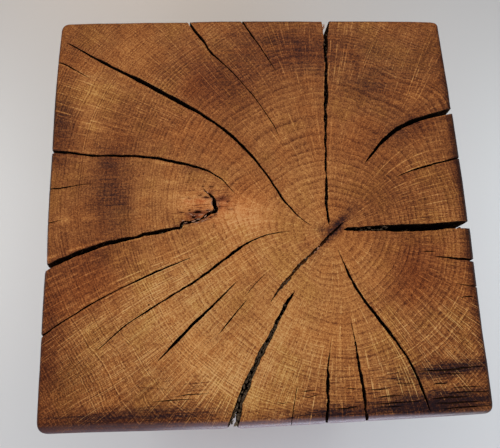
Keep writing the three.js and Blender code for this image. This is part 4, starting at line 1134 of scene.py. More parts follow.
# Soft patches on the end face: x, y, half sizes, turn in degrees, lightness, red, purple stain. Three along the rims
# paint light and shade, as noted at them.
PATCHES = [
    (-14, -6, 26, 18, 0, 0.10, 0.34, 0.0), (10, -30, 30, 24, 0, 0.06, 0.0, 0.0), (75, -125, 45, 16, 0, 0.0, 0.0, 0.12),
    (-8, -62, 78, 58, 0, 0.11, 0.0, 0.0), (-25, 0, 60, 40, 0, 0.05, 0.0, 0.0), (-112, -105, 40, 36, 0, -0.12, 0.0, 0.0),
    (-45, -128, 40, 20, 0, -0.06, 0.0, 0.0), (122, -92, 34, 44, 0, -0.14, 0.0, 0.0), (-80, -4, 26, 26, 0, -0.02, 0.0, 0.0),
    (100, 100, 50, 40, 0, 0.02, 0.0, 0.18), (-110, 120, 45, 30, 0, -0.09, 0.0, 0.0), (-108, 32, 7, 12, 0, -0.08, 0.1, 0.2),
    (112, 20, 40, 90, 0, -0.05, 0.05, 0.0), (20, 122, 80, 26, 0, 0.04, 0.05, 0.26), (-138, 0, 16, 150, 0, -0.06, 0.05, 0.0),
    (-19, -8, 22, 14, -10, 0.25, 0.16, 0.0), (-48, 4, 14, 9, 0, 0.14, 0.22, 0.0), (-92, 124, 22, 14, 0, 0.20, 0.0, 0.0),
    (-122, 82, 10, 42, 8, 0.13, 0.0, 0.0), (-30, -122, 24, 18, -30, 0.20, 0.0, 0.0), (4, -112, 14, 38, -15, 0.15, 0.0, 0.0),
    (36, 2, 16, 26, 15, 0.10, 0.0, 0.0), (66, -40, 22, 20, 0, 0.10, 0.0, 0.0), (98, -50, 28, 26, 0, -0.05, 0.1, 0.0), (108, 8, 30, 22, 0, -0.07, 0.0, 0.0),
    (-100, -140.5, 50, 4.5, 0, -0.16, 0.1, 0.55), (-58, -139, 22, 5, 0, -0.10, 0.1, 0.3), (-125, 126, 30, 22, 0, -0.03, 0.05, 0.0), (-95, 12, 46, 30, 0, 0.07, 0.0, 0.05), (35, -85, 40, 26, 0, 0.12, 0.0, 0.0),
    (-70, -95, 45, 30, 0, 0.12, 0.0, 0.0), (82, -122, 20, 12, 0, 0.08, 0.0, 0.0), (106, -133, 6, 6, 0, 0.12, 0.2, 0.0),
    (-20, -45, 40, 20, 25, 0.08, 0.0, 0.0), (-65, 20, 30, 14, 0, 0.04, 0.04, 0.0),
    (-106, 14, 15, 32, 0, -0.12, 0.15, 0.24), (-104, 4, 12, 14, 0, -0.10, 0.1, 0.22), (-144, 66, 10, 16, 0, -0.22, 0.05, 0.45),
    (-144, 38, 9, 10, 0, -0.16, 0.05, 0.3), (15, 126, 46, 22, 0, -0.14, 0.25, 0.08), (36, 118, 24, 14, 0, -0.06, 0.15, 0.14),
    (-20, 96, 28, 15, -25, -0.12, 0.25, 0.18), (-42, 104, 22, 22, 0, -0.08, 0.2, 0.0), (132, 122, 20, 30, 0, -0.12, 0.1, 0.05),
    (86, 90, 18, 13, 0, -0.12, 0.15, 0.20), (112, 56, 26, 10, 20, -0.14, 0.15, 0.2), (112, -40, 26, 12, 0, -0.08, 0.25, 0.0),
    (105, -62, 20, 14, 0, -0.08, 0.25, 0.0), (-146, -100, 9, 55, 0, -0.18, 0.2, 0.05), (-118, -36, 30, 12, 20, -0.14, 0.3, 0.05),
    (-122, -58, 26, 12, 25, -0.10, 0.3, 0.0), (-130, -122, 18, 14, 0, -0.12, 0.1, 0.0), (-80, -143, 60, 5, 0, -0.20, 0.15, 0.2),
    (120, -138, 32, 6.0, 1, -0.38, 0.0, 1.0), (123, -118.5, 26, 4.0, 6, -0.32, 0.0, 0.95), (100, -142, 22, 5, 0, -0.30, 0.0, 0.8),
    # (147, -60) and (147, 60) darken the right rim: painted shade.
    (60, -142.5, 40, 4, 1, -0.24, 0.0, 0.85), (38, -145, 14, 4, 0, -0.22, 0.0, 0.7), (147, -60, 5, 100, 0, -0.30, 0.0, 0.25),
    (147, 60, 4, 90, 0, -0.22, 0.0, 0.1), (49, -24.5, 17, 2.7, 45, -0.15, 0.14, 0.58), (42, -20, 4.2, 3.0, 0, -0.14, 0.0, 0.36),
    (51, -19, 7, 2.8, 45, -0.18, 0.1, 0.36), (59, -12, 9, 2.3, 45, -0.20, 0.1, 0.55), (31, -30, 5, 3.5, 45, -0.06, 0.25, 0.1), (-40, 55, 40, 22, -35, -0.05, 0.15, 0.0), (75, 20, 30, 40, 0, -0.04, 0.1, 0.0),
    (-32, 82, 22, 16, 0, -0.06, 0.2, 0.0), (60, 60, 30, 30, 0, -0.03, 0.1, 0.0), (-90, 55, 30, 20, 0, -0.06, 0.1, 0.0),
    (-44, -8.0, 9, 2.6, 12, -0.12, 0.8, 0.1), (-42, 2.4, 4, 1.6, 0, -0.10, 0.6, 0.1), (-52, 2.6, 3, 1.6, 0, -0.08, 0.4, 0.0),
    # (0, -148.6) darkens the front rim and tints it purple-grey: part of its painted sheen.
    (0, -148.6, 150, 3.0, 0, -0.10, 0.10, 0.60), (-44, -3, 17, 10, 0, -0.03, 0.25, 0.0), (-27, 0, 5, 5, 0, -0.02, 0.35, 0.0), (-29, 3, 6, 4, 0, -0.05, 0.2, 0.25), (-50, 26, 8, 4, 0, -0.05, 0.1, 0.3),
]


def patches(x, y):
    tone = np.zeros((len(x), 3))
    for cx, cy, a, b, turn, light, red, stain_and_rim_tint in PATCHES:
        c, s = math.cos(math.radians(turn)), math.sin(math.radians(turn))
        dx, dy = x - cx, y - cy
        u, v = (dx * c + dy * s) / a, (-dx * s + dy * c) / b
        w = np.exp(-0.9 * (u * u + v * v))
        tone += w[:, None] * np.array([light, red, stain_and_rim_tint])
    return tone


# Where the light rays and ring lines stand out like woven threads: x, y, half sizes, turn, amount.
WOVEN = [
    (-95, -105, 50, 38, 0, 1.0), (-35, -125, 30, 26, 0, 0.9), (125, -100, 30, 34, 0, 1.0), (85, -110, 20, 30, 0, 0.5),
    (-125, 70, 22, 45, 0, 0.30), (95, 105, 50, 30, 0, 0.12), (-80, 95, 40, 30, 0, 0.35), (-60, 5, 22, 18, 0, 0.6),
    (15, -118, 24, 24, 0, 0.6), (-120, -5, 26, 26, 0, 0.3), (120, 10, 26, 26, 0, 0.45), (-60, -55, 40, 20, 20, 0.4),
]


def woven(x, y):
    out = np.full(len(x), 0.22)
    for cx, cy, a, b, turn, amount in WOVEN:
        u, v = (x - cx) / a, (y - cy) / b
        out += amount * np.exp(-0.9 * (u * u + v * v))
    return np.minimum(out, 1.2)


# Dark red wood in the knot: x, y, half sizes.
BRUISES = [
    (-41.4, -6.4, 2.6, 1.3), (-44.6, -12.6, 3.0, 1.2), (-29.7, -1.9, 1.0, 2.2), (-37.0, -5.2, 3.4, 1.2), (-50.0, -7.4, 3.4, 1.2),
    (-52.5, -14.4, 3.2, 1.2), (-30.5, 2.5, 1.3, 2.6), (-27.6, 4.2, 2.4, 1.6), (-46.5, -9.8, 3.0, 1.4), (-40.0, -11.5, 3.0, 1.0),
    (-57.2, -13.4, 1.6, 2.2), (-34.8, 8.6, 2.0, 1.2), (-38.9, 4.6, 3.4, 1.0), (-60.5, -15.2, 3.0, 1.1),
]

# Where fine dark tears lie across the end face: x, y, half sizes, amount.
TORN = [
    (92, -126, 55, 15, 1.0), (60, -143, 60, 5, 0.8), (-58, -123, 26, 5, 0.8), (-46, 2, 22, 14, 0.75), (-85, -140, 50, 7, 0.6),
    (128, -15, 20, 16, 0.55), (125, -50, 22, 12, 0.4), (-105, 5, 16, 22, 0.4), (-15, 5, 22, 12, 0.3), (105, 60, 25, 12, 0.3),
]


# ---- attributes and shading of the mesh ----------------------------------------------------


def finish_mesh(obj):
    mesh = obj.data
    n = len(mesh.vertices)
    mm = np.empty(n * 3)
    mesh.vertices.foreach_get("co", mm)
    mm = mm.reshape(-1, 3) * 1000
    deep, pale = np.concatenate(mesh_parts.deep), np.concatenate(mesh_parts.pale)
    # the same point of the grain at the level of the top
    angle = -TWIST * (HEIGHT - mm[:, 2]) / HEIGHT
    d = mm[:, :2] - PITH
    flat = np.stack([PITH[0] + d[:, 0] * np.cos(angle) - d[:, 1] * np.sin(angle),
                     PITH[1] + d[:, 0] * np.sin(angle) + d[:, 1] * np.cos(angle)], 1)
    rho, theta = grain.at(flat)
    grow = np.stack([rho * np.cos(theta), rho * np.sin(theta), mm[:, 2]], 1)
    # patches belong to the end face and fade down the sides
    tone = patches(flat[:, 0], flat[:, 1]) * np.exp(-np.clip(HEIGHT - 6 - mm[:, 2], 0, None) / 22.0)[:, None]
    masks = np.stack([deep, pale, woven(flat[:, 0], flat[:, 1])], 1)
    # the knot, the bruised wood around its pits, and where fine tears lie across the end
    x, y = flat.T
    knot = np.exp(-((x + 46) / 15) ** 2 - ((y - 1.5) / 11) ** 2)
    bruise = np.zeros(n)
    for cx, cy, a, b, turn, depth in PITS:
        if not (abs(cx + 43) < 22 and abs(cy) < 18):
            continue
        c, s = math.cos(math.radians(turn)), math.sin(math.radians(turn))
        u, v = ((x - cx) * c + (y - cy) * s) / (a + 1.5), (-(x - cx) * s + (y - cy) * c) / (b + 1.2)
        bruise = np.maximum(bruise, np.exp(-u * u - v * v) * min(1.0, 0.35 + 0.3 * depth))
    for cx, cy, a, b in BRUISES:
        bruise = np.maximum(bruise, 0.95 * np.exp(-((x - cx) / a / 1.25) ** 2 - ((y - cy) / b / 1.25) ** 2))
    torn = np.zeros(n)
    for cx, cy, a, b, amount in TORN:
        torn += amount * np.exp(-0.9 * (((x - cx) / a) ** 2 + ((y - cy) / b) ** 2))
    calm = np.minimum(1, 1.7 * np.exp(-0.9 * (((x + 98) / 52) ** 2 + ((y - 8) / 25) ** 2)))
    layer = mesh.attributes.new("calm", "FLOAT", "POINT")
    layer.data.foreach_set("value", np.ascontiguousarray(calm, np.float32))
    spots = np.stack([knot, bruise, np.minimum(torn, 1)], 1) * (mm[:, 2] > HEIGHT - 5)[:, None]
    for name, data in (("grow", grow), ("tone", tone), ("masks", masks), ("spots", spots)):
        layer = mesh.attributes.new(name, "FLOAT_VECTOR", "POINT")
        layer.data.foreach_set("vector", np.ascontiguousarray(data, np.float32).ravel())
    mesh.polygons.foreach_set("use_smooth", np.ones(len(mesh.polygons), bool))
    mesh.set_sharp_from_angle(angle=math.radians(42))
    # the line where a wall meets the outside is an edge, however shallow it is
    loops = len(mesh.loops)
    total = np.empty(len(mesh.polygons), np.int32)
    edge = np.empty(loops, np.int32)
    mesh.polygons.foreach_get("loop_total", total)
    mesh.loops.foreach_get("edge_index", edge)
    wall = np.arange(len(total)) >= len(skin_faces)
    seen = np.zeros((len(mesh.edges), 2), int)
    np.add.at(seen, (edge, np.repeat(wall, total).astype(int)), 1)
    sharp = np.zeros(len(mesh.edges), bool)
    layer = mesh.attributes.get("sharp_edge") or mesh.attributes.new("sharp_edge", "BOOLEAN", "EDGE")
    layer.data.foreach_get("value", sharp)
    sharp |= (seen > 0).all(1)
    layer.data.foreach_set("value", sharp)
    mesh.update()


# ---- a map for baking --------------------------------------------------------------------


def lay_out(obj):
    """A texture map that gives the end face the largest share, then the sides, the underside and the cracks."""
    mesh = obj.data
    at = np.empty(len(mesh.vertices) * 3)
    mesh.vertices.foreach_get("co", at)
    at = at.reshape(-1, 3) * 1000
    start, total = np.empty(len(mesh.polygons), np.int32), np.empty(len(mesh.polygons), np.int32)
    vertex = np.empty(len(mesh.loops), np.int32)
    normal = np.empty(len(mesh.polygons) * 3)
    mesh.polygons.foreach_get("loop_start", start)
    mesh.polygons.foreach_get("loop_total", total)
    mesh.polygons.foreach_get("normal", normal)
    mesh.loops.foreach_get("vertex_index", vertex)
    normal = normal.reshape(-1, 3)
    face = np.repeat(np.arange(len(total)), total)
    corner = at[vertex]
    low = np.minimum.reduceat(corner[:, 2], start)
    skin = np.arange(len(total)) < len(skin_faces)
    across = np.abs(normal[:, 0]) > np.abs(normal[:, 1])
    top = (normal[:, 2] > 0.45) & (low > HEIGHT - 7)
    under = (normal[:, 2] < -0.45) & (low < 4)
    steep = ~top & ~under & (np.abs(normal[:, 2]) > 0.8)
    side = skin & ~top & ~under
    wall = ~(top | under | side | steep)
    x, y, z = corner.T
    uv = np.zeros((len(vertex), 2))

    def place(faces, a, a_range, b, b_range, left, bottom, width, height):
        chosen = faces[face]
        for k, value, (first, last), origin, size in ((0, a, a_range, left, width), (1, b, b_range, bottom, height)):
            share = np.clip((value[chosen] - first) / (last - first), 0, 1)
            uv[chosen, k] = origin + share * size

    plan, rise = (-151.5, 151.5), (-0.5, HEIGHT + 0.5)
    place(top, x, plan, y, plan, 0.004, 0.004, 0.648, 0.648)
    place(side & across & (normal[:, 0] > 0), y, plan, z, rise, 0.662, 0.004, 0.334, 0.318)
    place(side & across & (normal[:, 0] <= 0), y, plan, z, rise, 0.662, 0.332, 0.334, 0.318)
    place(side & ~across & (normal[:, 1] > 0), z, rise, x, plan, 0.004, 0.662, 0.318, 0.334)
    place(side & ~across & (normal[:, 1] <= 0), z, rise, x, plan, 0.332, 0.662, 0.318, 0.334)
    place(under, x, plan, y, plan, 0.662, 0.662, 0.160, 0.160)
    place(wall & across, y, plan, z, rise, 0.836, 0.662, 0.160, 0.160)
    place(wall & ~across, x, plan, z, rise, 0.662, 0.836, 0.160, 0.160)
    place(steep, x, plan, y, plan, 0.836, 0.836, 0.160, 0.160)
    layer = mesh.uv_layers.new(name="OFBake", do_init=False)
    layer.uv.foreach_set("vector", np.ascontiguousarray(uv, np.float32).ravel())


# ---- material ---------------------------------------------------------------------------


class Graph:
    """Short ways to add and link shader nodes."""

    def __init__(self, tree):
        self.tree = tree

    def node(self, kind, inputs=(), **settings):
        node = self.tree.nodes.new(kind)
        for key, value in settings.items():
            setattr(node, key, value)
        for key, value in (inputs.items() if isinstance(inputs, dict) else enumerate(inputs)):
            if value is None:
                continue
            socket = node.inputs[key]
            if isinstance(value, bpy.types.NodeSocket):
                self.tree.links.new(value, socket)
            else:
                socket.default_value = value
        return node

    def math(self, operation, *inputs, clamp=False):
        return self.node("ShaderNodeMath", inputs, operation=operation, use_clamp=clamp).outputs[0]

    def vector(self, operation, *inputs):
        return self.node("ShaderNodeVectorMath", inputs, operation=operation).outputs[0]

    def add(self, a, b):
        return self.math("ADD", a, b)

    def mul(self, a, b):
        return self.math("MULTIPLY", a, b)

    def span(self, value, a, b, c=0.0, d=1.0, smooth=True):
        """value mapped from a..b to c..d and held there."""
        kind = "SMOOTHSTEP" if smooth else "LINEAR"
        return self.node("ShaderNodeMapRange", {0: value, 1: a, 2: b, 3: c, 4: d}, interpolation_type=kind).outputs[0]

    def noise(self, vector, scale, detail=2.0, rough=0.5, dims="3D"):
        return self.node("ShaderNodeTexNoise", {"Vector": vector, "Scale": scale, "Detail": detail,
                                                "Roughness": rough}, noise_dimensions=dims).outputs[0]

    def mix(self, factor, a, b, blend="MIX"):
        node = self.node("ShaderNodeMix", data_type="RGBA", blend_type=blend, clamp_factor=True)
        for socket, value in ((node.inputs[0], factor), (node.inputs[6], a), (node.inputs[7], b)):
            if isinstance(value, bpy.types.NodeSocket):
                self.tree.links.new(value, socket)
            else:
                socket.default_value = value if not isinstance(value, tuple) else (*value, 1.0)[:4]
        return node.outputs[2]

    def ramp(self, value, stops, mode="LINEAR"):
        node = self.node("ShaderNodeValToRGB", [value])
        band = node.color_ramp
        band.interpolation = mode
        while len(band.elements) < len(stops):
            band.elements.new(0.5)
        for element, (at, colour) in zip(band.elements, stops):
            element.position = at
            element.color = (*colour, 1.0) if isinstance(colour, tuple) else (colour, colour, colour, 1.0)
        return node.outputs[0]

    def join(self, x, y, z):
        return self.node("ShaderNodeCombineXYZ", [x, y, z]).outputs[0]

    def split(self, vector):
        return self.node("ShaderNodeSeparateXYZ", [vector]).outputs[:3]


def oak_material():
    material = bpy.data.materials.new("oiled_oak")
    material.use_nodes = True
    tree = material.node_tree
    tree.nodes.clear()
    g = Graph(tree)

    grow = g.node("ShaderNodeAttribute", attribute_name="grow").outputs["Vector"]
    tone = g.node("ShaderNodeAttribute", attribute_name="tone").outputs["Vector"]
    masks = g.node("ShaderNodeAttribute", attribute_name="masks").outputs["Vector"]
    place = g.vector("MULTIPLY", g.node("ShaderNodeTexCoord").outputs["Object"], (1000.0, 1000.0, 1000.0))
    knot, bruise, torn = g.split(g.node("ShaderNodeAttribute", attribute_name="spots").outputs["Vector"])
    lively = g.math("SUBTRACT", 1.0, g.mul(g.node("ShaderNodeAttribute", attribute_name="calm").outputs["Fac"], 0.72))
    light_shift, red_shift, stain_and_rim_tint = g.split(tone)
    deep, pale, weave = g.split(masks)
    u, v, z = g.split(grow)
    px, py, pz = g.split(place)

    flat = g.join(u, v, 0.0)
    rho = g.node("ShaderNodeVectorMath", [flat], operation="LENGTH").outputs["Value"]
    aim = g.vector("NORMALIZE", flat)
    grain_xyz = g.join(u, v, g.mul(z, 0.035))          # drawn out along the trunk

    # ring distance with slow and quick wander
    slow = g.mul(g.math("SUBTRACT", g.noise(grain_xyz, 0.030, 2.0), 0.5), 6.0)
    wander = g.add(slow, g.mul(g.math("SUBTRACT", g.noise(grain_xyz, 0.30, 1.0), 0.5), 0.9))
    taper = g.mul(g.math("SUBTRACT", HEIGHT, z), 0.012)
    r = g.add(g.add(rho, wander), taper)
    years = g.add(g.mul(r, 0.250), g.mul(g.mul(r, r), 0.00085))
    years = g.add(years, g.mul(g.node("ShaderNodeTexNoise", {"W": g.mul(r, 0.09), "Detail": 1.0, "Scale": 1.0},
                                      noise_dimensions="1D").outputs[0], 2.2))
    part = g.math("FRACT", years)
    year = g.math("FLOOR", years)
    luck = g.node("ShaderNodeTexWhiteNoise", {"W": year}, noise_dimensions="1D").outputs[0]
    luck2 = g.node("ShaderNodeTexWhiteNoise", {"W": g.add(year, 57.3)}, noise_dimensions="1D").outputs[0]

    # rays: fine radial lines, more of them as the trunk widens
    octave = g.math("LOGARITHM", g.math("DIVIDE", g.math("MAXIMUM", rho, 6.0), 25.0), 2.0)
    turn = g.mul(g.math("ARCTAN2", v, u), 1.0 / (2 * math.pi))
    rays, streaks, threads = None, None, None
    for k in range(-1, 4):
        w = g.span(g.math("ABSOLUTE", g.math("SUBTRACT", octave, float(k))), 1.0, 0.0, 0.0, 1.0, smooth=False)
        count = 16.0 * 2 ** k
        where = g.vector("MULTIPLY", aim, (count, count, 0.0))
        where = g.vector("ADD", where, g.join(0.0, 0.0, g.add(g.mul(rho, 0.028), g.mul(z, 0.020))))
        n = g.noise(where, 1.0, 1.5, 0.6)
        ridge = g.span(g.math("ABSOLUTE", g.math("SUBTRACT", n, 0.5)), 0.060, 0.0, 0.0, 1.0)
        ridge, broad = g.mul(ridge, w), g.mul(g.math("SUBTRACT", n, 0.5), w)
        rays = ridge if rays is None else g.add(rays, ridge)
        streaks = broad if streaks is None else g.add(streaks, broad)
        for number, width in ((80 * 2 ** k, 0.13), (124 * 2 ** k, 0.16)):
            at = g.mul(turn, float(number))
            lot = g.node("ShaderNodeTexWhiteNoise", {"W": g.math("FLOOR", at)}, noise_dimensions="1D")
            chance = lot.outputs["Value"]
            off, _, _ = g.split(lot.outputs["Color"])
            near = g.math("ABSOLUTE", g.math("SUBTRACT", g.math("FRACT", at), g.span(off, 0.0, 1.0, 0.25, 0.75, smooth=False)))
            line = g.mul(g.span(near, width, 0.0), g.mul(w, g.span(chance, 0.25, 1.0, 0.0, 1.0)))
            along = g.node("ShaderNodeTexNoise", {"W": g.add(g.mul(rho, 0.07), g.add(g.mul(chance, 217.0), g.mul(z, 0.03))),
                                                  "Detail": 1.0, "Scale": 1.0}, noise_dimensions="1D").outputs[0]
            line = g.mul(line, g.span(along, 0.36, 0.60))
            threads = line if threads is None else g.add(threads, line)

    rays, streaks, threads = g.mul(rays, lively), g.mul(streaks, lively), g.mul(threads, lively)

    # light threads along the rings, which cross the rays like a weave
    cross = None
    for often, shift in ((0.56, 11.3), (0.37, 71.9)):
        at = g.add(g.mul(g.add(g.add(rho, slow), taper), often), shift)
        chance = g.node("ShaderNodeTexWhiteNoise", {"W": g.math("FLOOR", at)}, noise_dimensions="1D").outputs["Value"]
        near = g.math("ABSOLUTE", g.math("SUBTRACT", g.math("FRACT", at), 0.5))
        along = g.node("ShaderNodeTexNoise", {"W": g.add(g.mul(turn, 110.0), g.mul(chance, 217.0)), "Detail": 1.0, "Scale": 1.0},
                       noise_dimensions="1D").outputs[0]
        line = g.mul(g.span(near, 0.17, 0.0), g.mul(g.span(chance, 0.15, 1.0), g.span(along, 0.38, 0.60)))
        cross = line if cross is None else g.add(cross, line)
    cross = g.mul(cross, lively)

    # ring profile: a row of open pores, then paler late wood and a thin bright line
    pores_row = g.ramp(part, [(0.0, 0.9), (0.10, 1.0), (0.34, 0.35), (0.62, 0.05), (0.86, 0.0), (0.97, 0.55), (1.0, 0.9)])
    bright_row = g.ramp(part, [(0.0, 0.0), (0.68, 0.0), (0.79, 0.9), (0.85, 1.0), (0.91, 0.1), (1.0, 0.0)])
    pores_row = g.mul(pores_row, g.span(luck, 0.0, 1.0, 0.25, 1.0, smooth=False))
    bright_row = g.mul(bright_row, g.span(luck2, 0.2, 1.0, 0.1, 1.0, smooth=False))
    dashes = g.span(streaks, -0.12, 0.14)               # rays break the rows into dashes
    patchy = g.span(g.noise(grain_xyz, 0.045, 2.0), 0.38, 0.62)
    rows = g.mul(pores_row, g.add(0.35, g.mul(dashes, 0.65)))
    rows = g.mul(rows, g.span(knot, 0.15, 0.75, 1.0, 0.15))
    rows, bright_row = g.mul(rows, g.add(0.75, g.mul(lively, 0.25))), g.mul(bright_row, g.add(0.50, g.mul(lively, 0.50)))

    # single pores
    pore_xyz = g.join(g.mul(px, 1.25), g.mul(py, 1.25), g.mul(pz, 0.05))
    cell = g.node("ShaderNodeTexVoronoi", {"Vector": pore_xyz, "Scale": 1.0, "Randomness": 1.0},
                  voronoi_dimensions="3D").outputs["Distance"]
    pore = g.mul(g.span(cell, 0.36, 0.16), g.add(0.25, g.mul(pores_row, 0.75)))

    # broad tone, cloud and fine dirt
    cloud = g.math("SUBTRACT", g.noise(grain_xyz, 0.022, 3.0, 0.55), 0.5)
    fleck = g.math("SUBTRACT", g.noise(g.join(px, py, g.mul(pz, 0.05)), 0.55, 3.0, 0.65), 0.5)
    speck = g.math("SUBTRACT", g.noise(g.join(px, py, g.mul(pz, 0.05)), 1.05, 2.0, 0.7), 0.5)

    # the value falls off down the rounded rim
    rim = g.span(pz, HEIGHT - 0.05, HEIGHT - 1.3)
    value = g.add(0.466, light_shift)
    value = g.math("SUBTRACT", value, g.mul(rim, 0.16))
    value = g.add(value, g.mul(cloud, 0.42))
    value = g.add(value, g.mul(g.math("SUBTRACT", g.noise(g.join(px, py, g.mul(pz, 0.05)), 0.10, 2.0), 0.5), 0.24))
    value = g.add(value, g.mul(fleck, 0.30))
    value = g.add(value, g.mul(speck, 1.02))
    value = g.math("SUBTRACT", value, g.mul(rows, g.add(g.add(0.16, g.mul(patchy, 0.18)), g.mul(weave, 0.08))))
    value = g.math("SUBTRACT", value, g.mul(pore, 0.66))
    value = g.add(value, g.mul(rays, g.add(0.06, g.mul(weave, 0.14))))
    value = g.add(value, g.mul(threads, g.add(0.13, g.mul(weave, 1.05))))
    value = g.add(value, g.mul(bright_row, g.add(0.04, g.mul(weave, 0.16))))
    value = g.add(value, g.mul(cross, g.add(0.04, g.mul(weave, 0.34))))
    value = g.add(value, g.mul(streaks, 0.14))
    fibres = g.math("SUBTRACT", g.noise(g.join(g.mul(px, 0.16), g.mul(py, 1.15), 0.0), 1.0, 3.0, 0.6), 0.5)
    value = g.add(value, g.mul(g.mul(fibres, knot), 0.7))
    tear_xyz = g.join(g.mul(px, 0.055), g.mul(g.math("SUBTRACT", py, g.mul(px, 0.06)), 0.85), 0.0)
    tear = g.mul(g.span(g.noise(tear_xyz, 1.0, 2.5, 0.6), 0.55, 0.66), torn)
    value = g.math("SUBTRACT", value, g.mul(tear, 0.50))

    colour = g.ramp(value, [(0.0, (0.074, 0.022, 0.011)), (0.22, (0.170, 0.053, 0.019)), (0.45, (0.356, 0.125, 0.037)),
                            (0.62, (0.525, 0.210, 0.063)), (0.80, (0.710, 0.328, 0.100)), (1.0, (0.865, 0.510, 0.200))])
    red = g.mix(1.0, colour, (1.0, 0.66, 0.62), blend="MULTIPLY")
    colour = g.mix(g.math("MULTIPLY", red_shift, 1.0, clamp=True), colour, red)

    # slow changes of hue, from red-brown to olive-gold
    hue = g.noise(g.join(px, g.add(py, 400.0), g.mul(pz, 0.08)), 0.028, 3.0, 0.6)
    colour = g.mix(g.span(hue, 0.49, 0.62, 0.0, 0.45), colour, g.mix(1.0, colour, (1.0, 0.86, 0.74), blend="MULTIPLY"))
    colour = g.mix(g.span(hue, 0.49, 0.38, 0.0, 0.50), colour, g.mix(1.0, colour, (0.98, 1.05, 0.88), blend="MULTIPLY"))

    bruise_at = g.mul(g.span(bruise, 0.1, 0.8), g.span(fibres, -0.16, 0.12, 1.0, 0.45))
    colour = g.mix(g.mul(bruise_at, 0.94), colour, (0.110, 0.026, 0.015))

    # blue-black stain, drawn out along the saw's travel; along the front and right rims the same mix paints the
    # purple-grey tint of the front sheen and the right rim's shade
    drawn = g.noise(g.join(g.mul(px, 0.030), g.mul(py, 0.75), g.mul(pz, 0.05)), 1.0, 4.0, 0.65)
    stain_and_rim_tint_at = g.math("MULTIPLY", stain_and_rim_tint, g.span(drawn, 0.38, 0.58, 0.50, 1.7), clamp=True)
    mottle = g.mul(g.span(g.add(speck, g.mul(fleck, 0.6)), -0.12, 0.12, 1.0, 0.62), g.span(threads, 0.15, 0.9, 1.0, 0.45))
    stain_and_rim_tint_at = g.mul(stain_and_rim_tint_at, mottle)
    stain_and_rim_tint_at = g.math("ADD", stain_and_rim_tint_at, g.mul(tear, 0.35), clamp=True)
    stain_and_rim_tint_colour = g.mix(1.0, colour, (0.14, 0.17, 0.34), blend="MULTIPLY")
    stain_and_rim_tint_colour = g.mix(0.45, stain_and_rim_tint_colour, (0.026, 0.018, 0.027))
    colour = g.mix(stain_and_rim_tint_at, colour, stain_and_rim_tint_colour)

    # the worn rim: a painted light lilac-grey sheen along the front, painted shade on the other sides
    high = g.span(pz, HEIGHT - 8, HEIGHT - 5)
    frontal = g.mul(g.span(g.add(py, g.span(px, -20.0, -110.0, 0.0, -2.0)), -144.6, -147.2), high)
    shine = g.mul(frontal, g.span(px, -90.0, -20.0, 0.10, 1.0))
    # painted sheen: the front rim's lilac-grey colour, mottled and darker towards both corners
    sheen_mottle = g.noise(g.join(g.mul(px, 0.10), g.mul(py, 1.2), g.mul(pz, 1.2)), 1.0, 3.0, 0.6)
    painted_rim_sheen = g.ramp(g.span(px, -150.0, 150.0, 0.0, 1.0, smooth=False), [
        (0.0, (0.070, 0.038, 0.040)), (0.25, (0.110, 0.068, 0.076)), (0.42, (0.190, 0.130, 0.155)), (0.72, (0.225, 0.160, 0.190)),
        (0.86, (0.150, 0.098, 0.112)), (0.93, (0.050, 0.028, 0.030)), (1.0, (0.030, 0.018, 0.018))])
    colour = g.mix(g.mul(frontal, g.span(sheen_mottle, 0.30, 0.65, 0.50, 0.90)), colour, painted_rim_sheen)
    # painted shade: the right, left and back rims darkened almost to black
    edge = g.math("ADD", g.span(px, 143.8, 148.0), g.math("ADD", g.span(px, -147.6, -149.0), g.span(py, 147.0, 149.0)), clamp=True)
    colour = g.mix(g.mul(g.mul(edge, high), 0.72), colour, (0.018, 0.010, 0.008))

    # inside the cracks: grey-brown dirt over wood that never saw the sander
    grime = g.noise(g.join(g.mul(px, 1.0), g.mul(py, 1.0), g.mul(pz, 0.25)), 0.9, 3.0, 0.6)
    wall = g.ramp(grime, [(0.30, (0.012, 0.005, 0.004)), (0.50, (0.034, 0.016, 0.010)), (0.66, (0.080, 0.046, 0.028)),
                          (0.80, (0.150, 0.105, 0.070))])
    splinter = g.ramp(grime, [(0.3, (0.34, 0.15, 0.085)), (0.7, (0.66, 0.38, 0.25))])
    crumb = g.ramp(grime, [(0.3, (0.070, 0.046, 0.028)), (0.7, (0.40, 0.31, 0.20))])
    wall = g.mix(pale, wall, g.mix(g.span(pale, 0.6, 0.85), crumb, splinter))
    inside = g.span(deep, 0.03, 0.55)
    colour = g.mix(inside, colour, wall)

    # relief
    height = g.add(g.mul(rows, -0.5), g.mul(pore, -0.9))
    height = g.add(height, g.mul(rays, 0.25))
    height = g.add(height, g.mul(fleck, 0.5))
    bump = g.node("ShaderNodeBump", {"Strength": 0.35, "Distance": 0.00022, "Height": height}).outputs[0]

    rough = g.add(g.span(shine, 0.0, 1.0, 0.48, 0.30), g.mul(fleck, 0.18))
    rough = g.add(rough, g.mul(rows, 0.10))
    rough = g.add(rough, g.mul(inside, 0.40))
    shader = g.node("ShaderNodeBsdfPrincipled", {"Base Color": colour, "Roughness": rough, "Normal": bump})
    shader.inputs["IOR"].default_value = 1.42
    gloss = g.mul(g.math("SUBTRACT", 1.0, inside), g.add(0.06, g.mul(shine, 0.48)))
    tree.links.new(gloss, shader.inputs["Specular IOR Level"])
    g.node("ShaderNodeOutputMaterial", [shader.outputs[0]])
    return material


oak = oak_material()
block.data.materials.clear()
block.data.materials.append(oak)
finish_mesh(block)
lay_out(block)

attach(block, "root")
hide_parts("block")

# ---- floor and light ------------------------------------------------------------------------


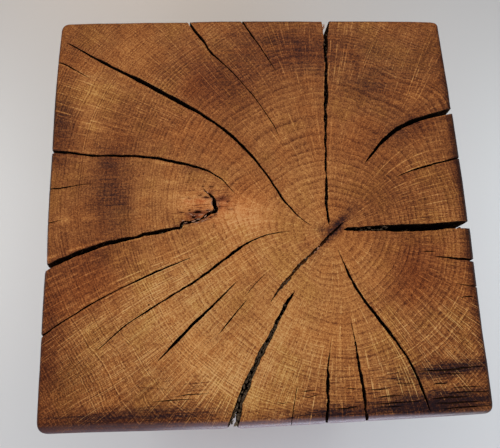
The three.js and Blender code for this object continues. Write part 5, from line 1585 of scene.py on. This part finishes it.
def floor_object():
    floor = make_object("floor", [[-3000, -3000, 0], [3000, -3000, 0], [3000, 3000, 0], [-3000, 3000, 0]], [[0, 1, 2, 3]])
    material = bpy.data.materials.new("floor")
    material.use_nodes = True
    shader = material.node_tree.nodes["Principled BSDF"]
    shader.inputs["Base Color"].default_value = (0.60, 0.60, 0.60, 1)
    shader.inputs["Roughness"].default_value = 0.75
    shader.inputs["Specular IOR Level"].default_value = 0.2
    floor.data.materials.append(material)
    return floor


floor_object()


def area_light(name, place, aim, size, power, colour):
    data = bpy.data.lights.new(name, "AREA")
    data.shape = "RECTANGLE"
    data.size, data.size_y = size
    data.energy = power
    data.color = colour
    light = bpy.data.objects.new(name, data)
    bpy.context.scene.collection.objects.link(light)
    light.location = place
    light.rotation_euler = (Vector(aim) - Vector(place)).to_track_quat("-Z", "Y").to_euler()
    return light


area_light("ceiling", (-0.05, 0.9, 2.5), (0.0, 0.0, 0.3), (2.0, 1.6), 24.5, (1.0, 0.93, 0.85))
area_light("window", (0.3, -2.6, 1.1), (0.0, 0.0, 0.35), (2.0, 1.4), 36.0, (0.80, 0.87, 1.0))
area_light("front_low", (0.10, -1.00, 0.30), (0.06, -0.20, 0.0), (0.9, 0.3), 5.8, (0.82, 0.89, 1.0))
area_light("left_low", (-0.70, 0.10, 0.27), (-0.25, 0.06, 0.0), (0.35, 0.3), 1.25, (0.98, 1.0, 0.97))
area_light("right_low", (0.75, 0.04, 0.30), (0.25, 0.04, 0.0), (0.4, 0.3), 1.6, (0.82, 0.93, 1.0))
area_light("back_low", (-0.15, 0.80, 0.30), (-0.12, 0.25, 0.0), (0.4, 0.3), 0.7, (1.0, 0.60, 0.28))

world = bpy.data.worlds.new("studio")
bpy.context.scene.world = world
world.use_nodes = True
world.node_tree.nodes["Background"].inputs[0].default_value = (0.80, 0.82, 0.86, 1)
world.node_tree.nodes["Background"].inputs[1].default_value = 0.28

bpy.context.scene.view_settings.view_transform = "Standard"
bpy.context.scene.view_settings.look = "None"
